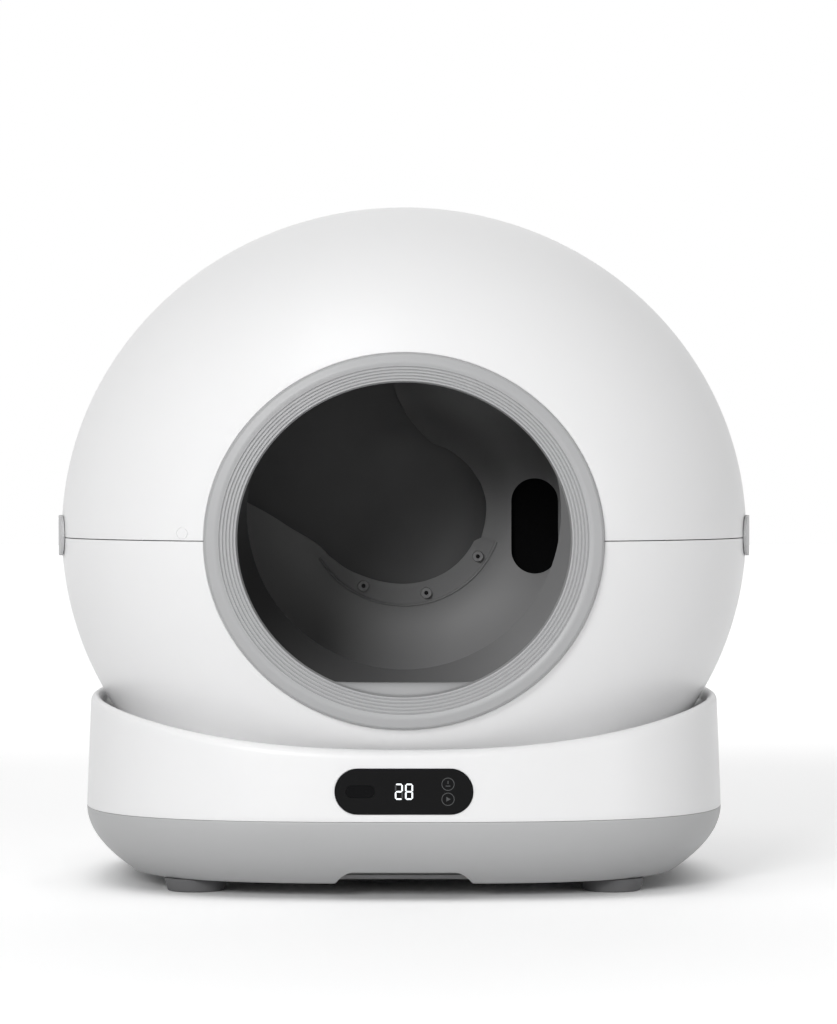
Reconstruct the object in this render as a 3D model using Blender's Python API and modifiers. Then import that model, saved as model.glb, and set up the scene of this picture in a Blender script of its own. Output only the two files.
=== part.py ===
"""Self cleaning litter box: fixed oval shell on a low base, drum turning inside, front waste drawer."""
import math

import bmesh
import bpy
from mathutils import Matrix, Vector

# Frame: origin on the floor under the middle, +Z up, entrance facing -Y
GAP = 0.0003
SEAT = 0.0008
OVERRUN = 0.010
WALL = 0.003

# Fixed shell: an ellipsoid, wider than it is tall
SHELL_HALF_WIDTH = 0.260
SHELL_HALF_DEPTH = 0.250
SHELL_HALF_HEIGHT = 0.247
SHELL_CENTRE_Z = 0.2595
SEAM_Z = 0.256
SHELL_FOOT_Z = 0.068
SHELL_STEPS = 44
SHELL_RINGS = 22

# Entrance ring
RING_HALF_WIDTH = 0.1423
RING_HALF_HEIGHT = 0.1339
RING_CREST = 0.0115
RING_ROLL = 0.0095
GROOVE_COUNT = 5
GROOVE_PITCH = 0.0024
GROOVE_DEPTH = 0.0009
GROOVE_EDGE_SHARE = 0.15
MOUTH_HALF_WIDTH = 0.1192
MOUTH_HALF_HEIGHT = 0.1120
MOUTH_RISE = 0.0015
MOUTH_SINK = 0.0063
THROAT_END_Y = -0.1880
THROAT_FLARE = 0.0023
THROAT_FLOOR_Z = 0.1548
RING_FLANGE = 0.008
FLANGE_CLEARANCE = 0.0018
RING_SEGMENTS = 48

# Base: rounded square plan with a saddle rim
BASE_POWER = 3.0
BASE_HALF_WIDTH = 0.2385
BASE_HALF_DEPTH = 0.2150
BASE_DRAFT = 0.0040
BASE_SEAM_Z = 0.0570
RIM_FRONT_Z = 0.1080
RIM_SIDE_Z = 0.1400
RIM_ROLL = 0.0070
RIM_WIDTH = 0.0040
HULL_BOTTOM_Z = 0.0100
HULL_TUCK = 0.0340
HULL_LEVELS = 5
BASE_SEGMENTS = 48
FLOOR_THICK = 0.0030
DECK_Z = 0.0677
DECK_MARGIN = 0.0060
CHUTE_HALF_WIDTH = 0.0850
CHUTE_HALF_DEPTH = 0.0750
CHUTE_Y = 0.0150
PORT_POWER = 8.0

# Drawer
SPLIT_Y = -0.0900
SPLIT_GAP = 0.0005
TRAY_HALF_WIDTH = 0.1500
TRAY_FRONT_Y = -0.1500
TRAY_REAR_Y = 0.1500
TRAY_TOP_Z = 0.0540
TRAY_WALL = 0.0025
TRAY_DRAFT = 0.0040
TRAY_POWER = 10.0
TRAY_SEGMENTS = 32
GUIDE_HEIGHT = 0.0110
GUIDE_WIDTH = 0.0040
NOTCH_HALF_WIDTH = 0.0475
NOTCH_TOP_HALF_WIDTH = 0.0335
NOTCH_HEIGHT = 0.0090
BAG_FRAME_WIDTH = 0.0080
BAG_FRAME_THICK = 0.0016

# Drum
DRUM_Z = 0.2760
DRUM_RADIUS = 0.2000
DRUM_FRONT_Y = -0.1533
DRUM_REAR_Y = 0.1480
DRUM_MOUTH_RADIUS = 0.1138
COLLAR_FRONT_Y = -0.1820
COLLAR_RADIUS = 0.1322
COLLAR_WALL = 0.0035
SEAL_THICK = 0.0025
DRUM_STEPS = 36
TRACK_Y = 0.1150
TRACK_WIDTH = 0.0160
TRACK_RADIUS = 0.1710
PORT_HALF_WIDTH = 0.0700
PORT_HALF_DEPTH = 0.0450
PORT_Y = 0.0400

# Inner partition of the drum
PART_OUTER_Y = 0.0600
PART_STRIP_RADIUS = 0.0780
PART_HOLE_RADIUS = 0.0653
PART_HOLE_CENTRE_Z = 0.2780
PART_CORE_RADIUS = 0.0520
PART_CLEARANCE = 0.0008
PART_SCREW_RADIUS = 0.0044
PART_SCREW_CIRCLE = 0.0707
PART_STRIP_Y = 0.1200
STRIP_RECESS = 0.0040
PART_WALL = 0.0025
SIDE_PORT_X = 0.1035
SIDE_PORT_Z = 0.2627
SIDE_PORT_HALF_WIDTH = 0.0184
SIDE_PORT_HALF_HEIGHT = 0.0377
PAD_MARGIN = 0.0028
STRIP_STEPS = 14
STRIP_START = math.radians(-149.0)
STRIP_END = math.radians(-21.0)
PART_SCREW_TURNS = (-117.0, -75.5, -34.0)

# Gearing
MODULE = 0.0040
RING_TEETH = 60
PINION_TEETH = 12
PRESSURE_ANGLE = math.radians(20.0)
ADDENDUM_SHARE = 0.90
DEDENDUM_SHARE = 1.25
BACKLASH = 0.0005
GEAR_WIDTH = 0.0120
RING_GEAR_BORE = 0.1050

# Rollers
ROLLER_RADIUS = 0.0140
ROLLER_WIDTH = 0.0140
ROLLER_ANGLE = math.radians(38.0)
PIN_RADIUS = 0.0030
CRADLE_THICK = 0.0050
CRADLE_FOOT_HALF_WIDTH = 0.0780
CRADLE_CLEARANCE = 0.0040

# Feet, latches and small hardware
FOOT_RADIUS = 0.0230
FOOT_X = 0.1520
FOOT_Y = 0.1250
LATCH_HALF_LENGTH = 0.0550
LATCH_HALF_HEIGHT = 0.0150
LATCH_THICK = 0.0020
SCREW_HEAD_RADIUS = 0.0032
SCREW_HEAD_HEIGHT = 0.0020
SCREW_SIDES = 12
SCREW_TIP_SHARE = 0.75

# Control window
LENS_HALF_WIDTH = 0.0489
LENS_HALF_HEIGHT = 0.0160
LENS_Z = 0.0787
LENS_THICK = 0.0040
SENSOR_X = -0.0310
SENSOR_HALF_WIDTH = 0.0102
SENSOR_HALF_HEIGHT = 0.0042

# Display, touch posts and board behind the window
DISPLAY_HALF_WIDTH = 0.0135
DISPLAY_HALF_HEIGHT = 0.0090
DISPLAY_THICK = 0.0045
BOARD_HALF_WIDTH = 0.0400
BOARD_HALF_HEIGHT = 0.0110
BOARD_THICK = 0.0016
LENS_PROUD = 0.0004
TOUCH_X = 0.0312
TOUCH_HALF_PITCH = 0.0053
TOUCH_RADIUS = 0.0042

# Weighing bars, power inlet and floor screws
CELL_WIDTH = 0.0110
CELL_LENGTH = 0.0340
CELL_HEIGHT = 0.0070
INLET_X = -0.0900
INLET_Z = 0.0350
INLET_RADIUS = 0.0055
INLET_LENGTH = 0.0200
FLOOR_SCREW_SHARE = 0.7

# Sieve beside the waste port
SIEVE_X = 0.0760
SIEVE_THICK = 0.0020
SIEVE_CLEARANCE = 0.0022
SIEVE_FRONT_Y = -0.0300
SIEVE_REAR_Y = 0.0500
SIEVE_BOTTOM_Z = 0.3900
SIEVE_SLOTS = 7
SIEVE_SLOT_HALF_WIDTH = 0.0030

# Drive behind the drum
RING_GEAR_Y = DRUM_REAR_Y + GAP + GEAR_WIDTH / 2
PINION_Z = DRUM_Z - MODULE * (RING_TEETH + PINION_TEETH) / 2
SHAFT_RADIUS = 0.0040
GEARBOX_HALF_WIDTH = 0.0220
GEARBOX_HALF_HEIGHT = 0.0170
GEARBOX_DEPTH = 0.0220
MOTOR_RADIUS = 0.0140
MOTOR_LENGTH = 0.0420
MOTOR_DROP = 0.0020
MOTOR_OFFSET = 0.0011
BRACKET_THICK = 0.0025
BRACKET_HALF_WIDTH = 0.0200
BRACKET_TOP = 0.0180
BRACKET_FLANGE = 0.0150
BRACKET_SHELF_Z = 0.0860
CRADLE_IN_Y = TRACK_Y + TRACK_WIDTH / 2 + 0.0023
SCREW_CIRCLE = 0.1100
GEAR_SCREWS = 4

# Edge of the partition's hole: degrees from +X, and share of the hole's radius
HOLE_ARC_SHARES = ((-147, 1.09), (-133, 1.03), (-119, 0.976), (-105, 0.95), (-90, 0.94), (-75, 0.94),
                   (-60, 0.945), (-48, 0.948), (-36, 0.95), (-24, 0.955), (-21, 1.01), (-10, 1.0), (3, 1.0),
                   (15, 0.977), (24, 0.95), (33, 0.93), (43, 0.90), (53, 0.878), (67, 0.854))
# Channel from the hole out to the rim, across and up, in shares of the hole's radius
CHANNEL_SHARES = ((0.23, 0.87), (0.14, 0.979), (0.0, 1.173), (-0.109, 1.427), (-0.18, 1.8), (-0.25, 2.4),
                  (-0.3, 3.2), (-3.2, 3.2), (-3.2, 0.7), (-1.862, 0.033), (-1.358, -0.27), (-1.056, -0.451))

COLLECTION = "self_cleaning_litter_box"
CUTTERS = "cutters"


def clear_scene():
    for obj in list(bpy.data.objects):
        bpy.data.objects.remove(obj, do_unlink=True)


def make_collection(name):
    found = bpy.data.collections.get(name) or bpy.data.collections.new(name)
    if name not in bpy.context.scene.collection.children:
        bpy.context.scene.collection.children.link(found)
    return found


def material(name, colour, roughness, metallic=0.0):
    made = bpy.data.materials.new(name)
    made.use_nodes = True
    shader = made.node_tree.nodes["Principled BSDF"]
    shader.inputs["Base Color"].default_value = (*colour, 1.0)
    shader.inputs["Roughness"].default_value = roughness
    shader.inputs["Metallic"].default_value = metallic
    made.diffuse_color = (*colour, 1.0)
    return made


def place(obj, collection):
    for old in list(obj.users_collection):
        old.objects.unlink(obj)
    collection.objects.link(obj)
    return obj


def mesh_object(name, bm, collection, finish=None):
    bmesh.ops.recalc_face_normals(bm, faces=bm.faces)
    mesh = bpy.data.meshes.new(name)
    bm.to_mesh(mesh)
    bm.free()
    mesh.shade_smooth()
    mesh.set_sharp_from_angle(angle=math.radians(35.0))
    obj = bpy.data.objects.new(name, mesh)
    collection.objects.link(obj)
    if finish is not None:
        mesh.materials.append(finish)
    return obj


def loft(name, loops, collection, finish=None, closed=True):
    """Skin through closed loops of equal count; closed joins the last loop to the first, else ends get caps."""
    bm = bmesh.new()
    rows = [[bm.verts.new(point) for point in loop] for loop in loops]
    count = len(rows[0])
    pairs = list(zip(rows, rows[1:] + rows[:1])) if closed else list(zip(rows, rows[1:]))
    for first, second in pairs:
        for i in range(count):
            j = (i + 1) % count
            bm.faces.new((first[i], first[j], second[j], second[i]))
    if not closed:
        bm.faces.new(rows[0])
        bm.faces.new(rows[-1])
    return mesh_object(name, bm, collection, finish)


def slab(name, outlines, thick, matrix, collection, finish=None):
    """Flat outline with optional holes, filled and extruded both ways, then put in place by matrix."""
    curve = bpy.data.curves.new(name, "CURVE")
    curve.dimensions = "2D"
    curve.fill_mode = "BOTH"
    curve.extrude = thick / 2
    for outline in outlines:
        spline = curve.splines.new("POLY")
        spline.points.add(len(outline) - 1)
        for point, (x, y) in zip(spline.points, outline):
            point.co = (x, y, 0.0, 1.0)
        spline.use_cyclic_u = True
    drawn = bpy.data.objects.new(name + "_outline", curve)
    collection.objects.link(drawn)
    bpy.context.view_layer.update()
    depsgraph = bpy.context.evaluated_depsgraph_get()
    mesh = bpy.data.meshes.new_from_object(drawn.evaluated_get(depsgraph))
    bpy.data.objects.remove(drawn, do_unlink=True)
    bm = bmesh.new()
    bm.from_mesh(mesh)
    bpy.data.meshes.remove(mesh)
    bmesh.ops.remove_doubles(bm, verts=bm.verts, dist=GAP / 10)
    bmesh.ops.transform(bm, matrix=matrix, verts=bm.verts)
    return mesh_object(name, bm, collection, finish)


def turned(name, profile, centre, collection, finish=None, steps=DRUM_STEPS):
    """Closed profile of (radius, y) points turned about the Y axis through centre."""
    bm = bmesh.new()
    verts = [bm.verts.new((radius, 0.0, y)) for radius, y in profile]
    for first, second in zip(verts, verts[1:] + verts[:1]):
        if first.co.x > 0.0 or second.co.x > 0.0:
            bm.edges.new((first, second))
    mesh = bpy.data.meshes.new(name)
    bm.to_mesh(mesh)
    bm.free()
    obj = bpy.data.objects.new(name, mesh)
    collection.objects.link(obj)
    screw = obj.modifiers.new("turn", "SCREW")
    screw.axis = "Z"
    screw.steps = steps
    screw.render_steps = steps
    screw.use_merge_vertices = True
    screw.merge_threshold = GAP / 10
    screw.use_smooth_shade = True
    bpy.context.view_layer.update()
    solid = bpy.data.meshes.new_from_object(obj.evaluated_get(bpy.context.evaluated_depsgraph_get()))
    bpy.data.objects.remove(obj, do_unlink=True)
    bm = bmesh.new()
    bm.from_mesh(solid)
    bpy.data.meshes.remove(solid)
    bmesh.ops.remove_doubles(bm, verts=bm.verts, dist=GAP / 10)
    bmesh.ops.transform(bm, matrix=Matrix.Translation(centre) @ Matrix.Rotation(-math.pi / 2, 4, "X"),
                        verts=bm.verts)
    return mesh_object(name, bm, collection, finish)


def box(name, low, high, collection, finish=None, bevel=0.0):
    bm = bmesh.new()
    size = Vector(high) - Vector(low)
    middle = (Vector(high) + Vector(low)) / 2
    bmesh.ops.create_cube(bm, size=1.0, matrix=Matrix.Translation(middle) @ Matrix.Diagonal((*size, 1.0)))
    if bevel > 0.0:
        bmesh.ops.bevel(bm, geom=bm.edges[:], offset=bevel, segments=2, affect="EDGES", profile=0.5)
    return mesh_object(name, bm, collection, finish)


def rod(name, radius, start, end, collection, finish=None, sides=24, tip_radius=None):
    bm = bmesh.new()
    start, end = Vector(start), Vector(end)
    along = end - start
    turn = along.to_track_quat("Z", "Y").to_matrix().to_4x4()
    bmesh.ops.create_cone(bm, cap_ends=True, segments=sides, radius1=radius,
                          radius2=radius if tip_radius is None else tip_radius, depth=along.length,
                          matrix=Matrix.Translation((start + end) / 2) @ turn)
    return mesh_object(name, bm, collection, finish)


def ellipsoid(name, inset, collection):
    bm = bmesh.new()
    sizes = (SHELL_HALF_WIDTH - inset, SHELL_HALF_DEPTH - inset, SHELL_HALF_HEIGHT - inset, 1.0)
    bmesh.ops.create_uvsphere(bm, u_segments=SHELL_STEPS, v_segments=SHELL_RINGS, radius=1.0,
                              matrix=Matrix.Translation((0.0, 0.0, SHELL_CENTRE_Z)) @ Matrix.Diagonal(sizes))
    return mesh_object(name, bm, collection)


def apply_modifiers(obj):
    """Bake the object's modifiers, so that later cuts start from one clean mesh."""
    bpy.context.view_layer.update()
    mesh = bpy.data.meshes.new_from_object(obj.evaluated_get(bpy.context.evaluated_depsgraph_get()))
    obj.modifiers.clear()
    old = obj.data
    obj.data = mesh
    bpy.data.meshes.remove(old)
    return obj


def combine(obj, other, operation, cutters):
    place(other, cutters)
    other.hide_render = True
    other.display_type = "WIRE"
    step = obj.modifiers.new(other.name, "BOOLEAN")
    step.operation = operation
    step.solver = "EXACT"
    step.object = other
    return obj


def cut(obj, other, cutters):
    return combine(obj, other, "DIFFERENCE", cutters)


def fuse(obj, other, cutters):
    return combine(obj, other, "UNION", cutters)


def tidy_mesh(obj):
    """Apply every step, merge doubles and give the piece its shading."""
    apply_modifiers(obj)
    bm = bmesh.new()
    bm.from_mesh(obj.data)
    bmesh.ops.remove_doubles(bm, verts=bm.verts, dist=GAP / 20)
    bmesh.ops.dissolve_degenerate(bm, edges=bm.edges, dist=GAP / 20)
    bm.to_mesh(obj.data)
    bm.free()
    obj.data.shade_smooth()
    obj.data.set_sharp_from_angle(angle=math.radians(35.0))
    return obj


def put_origin(obj, origin):
    """Move the object's origin to its joint axis without moving the piece."""
    obj.data.transform(Matrix.Translation(-Vector(origin)))
    obj.location = origin
    return obj


def superellipse(half_x, half_y, power, count, z=None):
    """Points of |x/a|^n + |y/b|^n = 1, counted from +X towards +Y."""
    points = []
    for i in range(count):
        angle = 2 * math.pi * i / count
        c, s = math.cos(angle), math.sin(angle)
        radius = (abs(c / half_x) ** power + abs(s / half_y) ** power) ** (-1.0 / power)
        point = (radius * c, radius * s)
        points.append(point if z is None else (*point, z))
    return points


def stadium(half_width, half_height, centre=(0.0, 0.0), arc=8):
    """Outline with full round ends, along the longer side."""
    radius = min(half_width, half_height)
    along = abs(half_width - half_height)
    flat = half_width >= half_height
    points = []
    for side in (1, -1):
        for i in range(arc + 1):
            angle = -math.pi / 2 + math.pi * i / arc
            x = side * (along + radius * math.cos(angle))
            y = side * radius * math.sin(angle)
            points.append((x, y) if flat else (-y, x))
    return [(x + centre[0], y + centre[1]) for x, y in points]


def ring_points(half_x, half_z, centre_z, depth, count=RING_SEGMENTS, floor=None):
    """Loop round the Y axis; depth is a number or a function of (x, z)."""
    points = []
    for i in range(count):
        angle = 2 * math.pi * i / count
        x = half_x * math.cos(angle)
        z = centre_z + half_z * math.sin(angle)
        if floor is not None:
            z = max(z, floor)
        y = depth(x, z) if callable(depth) else depth
        points.append((x, y, z))
    return points


def shell_front(inset):
    """Depth of the shell's front surface at (x, z), inset into its wall."""
    def depth(x, z):
        across = x / (SHELL_HALF_WIDTH - inset)
        up = (z - SHELL_CENTRE_Z) / (SHELL_HALF_HEIGHT - inset)
        return -(SHELL_HALF_DEPTH - inset) * math.sqrt(max(0.0, 1.0 - across ** 2 - up ** 2))
    return depth


def ring_crest_y():
    """Foremost plane of the object, at the crest of the entrance ring."""
    return shell_front(0.0)(0.0, SEAM_Z + RING_HALF_HEIGHT) - RING_CREST


def xz_matrix(y):
    """Stands a flat drawing up: its x stays x, its y becomes z, at depth y."""
    return Matrix.Translation((0.0, y, 0.0)) @ Matrix.Rotation(math.pi / 2, 4, "X")


def build_shells(parts, cutters, white):
    """Upper and lower halves of the ellipsoid, parted at the seam and open at the entrance and the foot."""
    half = SHELL_HALF_WIDTH + OVERRUN
    bands = {"lower_shell": (SHELL_FOOT_Z, SEAM_Z - GAP), "upper_shell": (SEAM_Z, SHELL_CENTRE_Z + half)}
    made = {}
    for name, (low, high) in bands.items():
        shell = ellipsoid(name, 0.0, parts)
        shell.data.materials.append(white)
        bm = bmesh.new()
        bm.from_mesh(shell.data)
        for height, normal in ((low, (0, 0, -1)), (high, (0, 0, 1))):
            bmesh.ops.bisect_plane(bm, geom=bm.verts[:] + bm.edges[:] + bm.faces[:], plane_co=(0, 0, height),
                                   plane_no=normal, clear_outer=True)
        bm.to_mesh(shell.data)
        bm.free()
        wall = shell.modifiers.new("wall", "SOLIDIFY")
        wall.thickness = WALL
        wall.offset = -1.0
        apply_modifiers(shell)
        cutter = loft(name + "_entrance", [
            ring_points(RING_HALF_WIDTH + GAP, RING_HALF_HEIGHT + GAP, SEAM_Z, y)
            for y in (-half, -SHELL_HALF_DEPTH / 2)], cutters, closed=False)
        cut(shell, cutter, cutters)
        made[name] = tidy_mesh(shell)
    return made


def build_bezel(parts, grey):
    """Entrance ring, stepped grooves, throat and the hidden flange behind the shell, as one closed skin."""
    outside = shell_front(0.0)
    behind = shell_front(WALL + FLANGE_CLEARANCE)
    crest_y = ring_crest_y()
    loops = []

    mouth_z = SEAM_Z + MOUTH_RISE
    inset_share = (RING_HALF_HEIGHT - MOUTH_HALF_HEIGHT) / (RING_HALF_WIDTH - MOUTH_HALF_WIDTH)

    def ring(inset, depth):
        share = max(0.0, inset) / (RING_HALF_WIDTH - MOUTH_HALF_WIDTH)
        loops.append(ring_points(RING_HALF_WIDTH - inset, RING_HALF_HEIGHT - inset * inset_share,
                                 SEAM_Z + MOUTH_RISE * share, depth))

    ring(-RING_FLANGE, behind)
    ring(GAP, behind)
    ring(GAP, outside)
    for i in range(1, 4):
        turn = math.pi / 2 * i / 3
        rise = math.sin(turn)
        ring(GAP + RING_ROLL * (1 - math.cos(turn)),
             lambda x, z, rise=rise: outside(x, z) * (1 - rise) + crest_y * rise)
    start = GAP + RING_ROLL
    for step in range(GROOVE_COUNT):
        edge = start + GROOVE_PITCH * step
        level = crest_y + GROOVE_DEPTH * step
        ring(edge + GROOVE_PITCH * GROOVE_EDGE_SHARE, level + GROOVE_DEPTH)
        ring(edge + GROOVE_PITCH, level + GROOVE_DEPTH / 2)
    inner_y = crest_y + MOUTH_SINK
    for half_x, half_z, depth in ((MOUTH_HALF_WIDTH, MOUTH_HALF_HEIGHT, inner_y),
                                  (MOUTH_HALF_WIDTH - GAP, MOUTH_HALF_HEIGHT - GAP, inner_y + RING_ROLL)):
        loops.append(ring_points(half_x, half_z, mouth_z, depth))
    for wall in (0.0, WALL):
        flare = THROAT_FLARE + wall
        loops.append(ring_points(MOUTH_HALF_WIDTH + flare, MOUTH_HALF_HEIGHT + flare, mouth_z, THROAT_END_Y,
                                 floor=THROAT_FLOOR_Z - wall))
    loops.append(ring_points(RING_HALF_WIDTH - RING_FLANGE, RING_HALF_HEIGHT - RING_FLANGE, SEAM_Z,
                             shell_front(WALL + FLANGE_CLEARANCE + WALL)))
    loops.append(ring_points(RING_HALF_WIDTH + RING_FLANGE, RING_HALF_HEIGHT + RING_FLANGE, SEAM_Z,
                             shell_front(WALL + FLANGE_CLEARANCE + WALL)))
    return loft("entry_bezel", loops, parts, grey)


def rim_height(x, y):
    """Saddle rim: low at the front and back, high at the sides."""
    share = min(1.0, abs(x) / BASE_HALF_WIDTH) ** 2.4
    return RIM_FRONT_Z + (RIM_SIDE_Z - RIM_FRONT_Z) * share


def base_loop(inset_x, inset_y, z, power=BASE_POWER):
    """Plan loop of the base, inset on both axes; z is a number or a function of (x, y)."""
    loop = superellipse(BASE_HALF_WIDTH - inset_x, BASE_HALF_DEPTH - inset_y, power, BASE_SEGMENTS)
    return [(x, y, z(x, y) if callable(z) else z) for x, y in loop]


def build_base_housing(parts, cutters, white):
    """White collar: outer wall, rolled saddle rim, inner slope, deck with the chute, and the wall's inside."""
    foot_share = math.sqrt(1 - ((SHELL_FOOT_Z - SHELL_CENTRE_Z) / SHELL_HALF_HEIGHT) ** 2)
    deck_x = SHELL_HALF_WIDTH * foot_share + DECK_MARGIN
    deck_y = SHELL_HALF_DEPTH * foot_share + DECK_MARGIN
    bottom = BASE_SEAM_Z + GAP

    def plan(half_x, half_y, power, z, centre_y=0.0):
        return [(x, y + centre_y, z) for x, y in superellipse(half_x, half_y, power, BASE_SEGMENTS)]

    def rim(drop):
        return lambda x, y: rim_height(x, y) - drop

    loops = [base_loop(0.0, 0.0, bottom), base_loop(BASE_DRAFT, BASE_DRAFT, rim(RIM_ROLL))]
    for i in (1, 2, 3):
        turn = math.pi / 2 * i / 3
        inset = BASE_DRAFT + RIM_WIDTH * (1 - math.cos(turn))
        inset_y = inset + RIM_WIDTH * (1 - math.cos(turn))
        loops.append(base_loop(inset, inset_y, rim(RIM_ROLL * (1 - math.sin(turn)))))
    loops.append(base_loop(BASE_DRAFT + RIM_WIDTH + GAP, BASE_DRAFT + 2 * RIM_WIDTH + GAP, rim(RIM_ROLL)))
    slope_x, slope_y = BASE_HALF_WIDTH - BASE_DRAFT - RIM_WIDTH, BASE_HALF_DEPTH - BASE_DRAFT - 2 * RIM_WIDTH
    mid_x, mid_y = (slope_x + deck_x) / 2 + DECK_MARGIN, (slope_y + deck_y) / 2 + DECK_MARGIN / 2
    mid_z = (DECK_Z + RIM_FRONT_Z) / 2 - DECK_MARGIN
    deck_under = DECK_Z - WALL
    loops.append(plan(mid_x, mid_y, (2.0 + BASE_POWER) / 2, mid_z))
    loops.append(plan(deck_x, deck_y, 2.0, DECK_Z))
    loops.append(plan(CHUTE_HALF_WIDTH, CHUTE_HALF_DEPTH, PORT_POWER, DECK_Z, CHUTE_Y))
    loops.append(plan(CHUTE_HALF_WIDTH, CHUTE_HALF_DEPTH, PORT_POWER, deck_under - WALL, CHUTE_Y))
    loops.append(plan(CHUTE_HALF_WIDTH + WALL, CHUTE_HALF_DEPTH + WALL, PORT_POWER, deck_under - WALL,
                      CHUTE_Y))
    loops.append(plan(CHUTE_HALF_WIDTH + WALL, CHUTE_HALF_DEPTH + WALL, PORT_POWER, deck_under, CHUTE_Y))
    loops.append(plan(deck_x, deck_y, 2.0, deck_under))
    loops.append(base_loop(WALL + BASE_DRAFT, WALL + BASE_DRAFT, deck_under + WALL / 2))
    loops.append(base_loop(WALL, WALL, bottom))
    housing = loft("base_housing", loops, parts, white)
    pocket = slab("lens_pocket", [stadium(LENS_HALF_WIDTH + GAP, LENS_HALF_HEIGHT + GAP)], 4 * OVERRUN,
                  lens_matrix(0.0), cutters)
    cut(housing, pocket, cutters)
    return tidy_mesh(housing)


def lens_matrix(depth):
    """Places a flat drawing on the front wall, leaning with its draft; depth goes into the wall."""
    lean = math.atan2(BASE_DRAFT, RIM_FRONT_Z - BASE_SEAM_Z)
    front = -BASE_HALF_DEPTH + (LENS_Z - BASE_SEAM_Z) * math.tan(lean)
    return (Matrix.Translation((0.0, front, LENS_Z)) @ Matrix.Rotation(-lean, 4, "X")
            @ Matrix.Translation((0.0, depth, 0.0)) @ Matrix.Rotation(math.pi / 2, 4, "X"))


def hull_loops(inset, low, high):
    """Grey lower hull: plan loops that tuck under towards the floor."""
    loops = []
    for i in range(HULL_LEVELS + 1):
        z = low + (high - low) * i / HULL_LEVELS
        drop = max(0.0, BASE_SEAM_Z - z) / (BASE_SEAM_Z - HULL_BOTTOM_Z)
        tuck = HULL_TUCK * drop ** 2
        loops.append(base_loop(tuck + inset, tuck + inset, z))
    return loops


def floor_edge_cutter(name, low, high, cutters):
    """What lies in front of the floor's own rounded edge."""
    inset = HULL_TUCK + 2 * WALL
    edge = [(x, y) for x, y in superellipse(BASE_HALF_WIDTH - inset, BASE_HALF_DEPTH - inset, BASE_POWER,
                                            BASE_SEGMENTS) if y < SPLIT_Y - OVERRUN]
    wide = BASE_HALF_WIDTH + OVERRUN
    front = -BASE_HALF_DEPTH - OVERRUN
    outline = ([(-wide, SPLIT_Y), (edge[0][0], SPLIT_Y)] + edge
               + [(edge[-1][0], SPLIT_Y), (wide, SPLIT_Y), (wide, front), (-wide, front)])
    return slab(name, [outline], high - low, Matrix.Translation((0.0, 0.0, (low + high) / 2)), cutters)


def build_base_pan(parts, cutters, grey):
    """Sides and rear of the grey hull with the floor, the drawer guides and the foot sockets."""
    pan = loft("base_pan", hull_loops(0.0, HULL_BOTTOM_Z, BASE_SEAM_Z), parts, grey, closed=False)
    floor_z = HULL_BOTTOM_Z + FLOOR_THICK
    cut(pan, loft("pan_cavity", hull_loops(WALL, floor_z, BASE_SEAM_Z + OVERRUN), cutters, closed=False), cutters)
    wide = BASE_HALF_WIDTH + OVERRUN
    cut(pan, box("pan_front", (-wide, -wide, floor_z), (wide, SPLIT_Y, BASE_SEAM_Z + OVERRUN), cutters), cutters)
    cut(pan, floor_edge_cutter("pan_floor_edge", HULL_BOTTOM_Z - OVERRUN, floor_z + OVERRUN, cutters), cutters)
    reach = TRAY_HALF_WIDTH + SEAT
    for side, label in ((-1, "left"), (1, "right")):
        xs = sorted((side * reach, side * (reach + GUIDE_WIDTH)))
        fuse(pan, box("guide_" + label, (xs[0], TRAY_FRONT_Y + OVERRUN, floor_z - FLOOR_THICK / 2),
                      (xs[1], TRAY_REAR_Y, floor_z + GUIDE_HEIGHT), cutters), cutters)
    stop_y = TRAY_REAR_Y + SEAT
    fuse(pan, box("rear_stop", (-TRAY_HALF_WIDTH / 2, stop_y, floor_z - FLOOR_THICK / 2),
                  (TRAY_HALF_WIDTH / 2, stop_y + GUIDE_WIDTH, floor_z + GUIDE_HEIGHT), cutters), cutters)
    return tidy_mesh(pan)


def build_fascia(parts, cutters, grey):
    """Front of the grey hull, which pulls out with the tray; a finger notch is cut in its lower edge."""
    fascia = loft("drawer_fascia", hull_loops(0.0, HULL_BOTTOM_Z, BASE_SEAM_Z), parts, grey, closed=False)
    cut(fascia, loft("fascia_cavity", hull_loops(WALL, HULL_BOTTOM_Z - OVERRUN, BASE_SEAM_Z + OVERRUN), cutters,
                     closed=False), cutters)
    wide = BASE_HALF_WIDTH + OVERRUN
    cut(fascia, box("fascia_rear", (-wide, SPLIT_Y - SPLIT_GAP, -OVERRUN), (wide, wide, BASE_SEAM_Z + OVERRUN),
                    cutters), cutters)
    top = HULL_BOTTOM_Z + NOTCH_HEIGHT
    corner = NOTCH_HALF_WIDTH - NOTCH_TOP_HALF_WIDTH
    outline = [(NOTCH_HALF_WIDTH, HULL_BOTTOM_Z - OVERRUN)]
    for side in (1, -1):
        curve = [(side * (NOTCH_TOP_HALF_WIDTH + corner * (1 - math.sin(math.pi / 2 * i / 5))),
                  HULL_BOTTOM_Z + NOTCH_HEIGHT * (1 - math.cos(math.pi / 2 * i / 5))) for i in range(6)]
        outline += curve if side == 1 else curve[::-1]
    outline = [(x, min(z, top)) for x, z in outline] + [(-NOTCH_HALF_WIDTH, HULL_BOTTOM_Z - OVERRUN)]
    notch = slab("finger_notch", [outline], BASE_HALF_DEPTH, xz_matrix(-BASE_HALF_DEPTH), cutters)
    cut(fascia, notch, cutters)
    return tidy_mesh(fascia)


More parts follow.
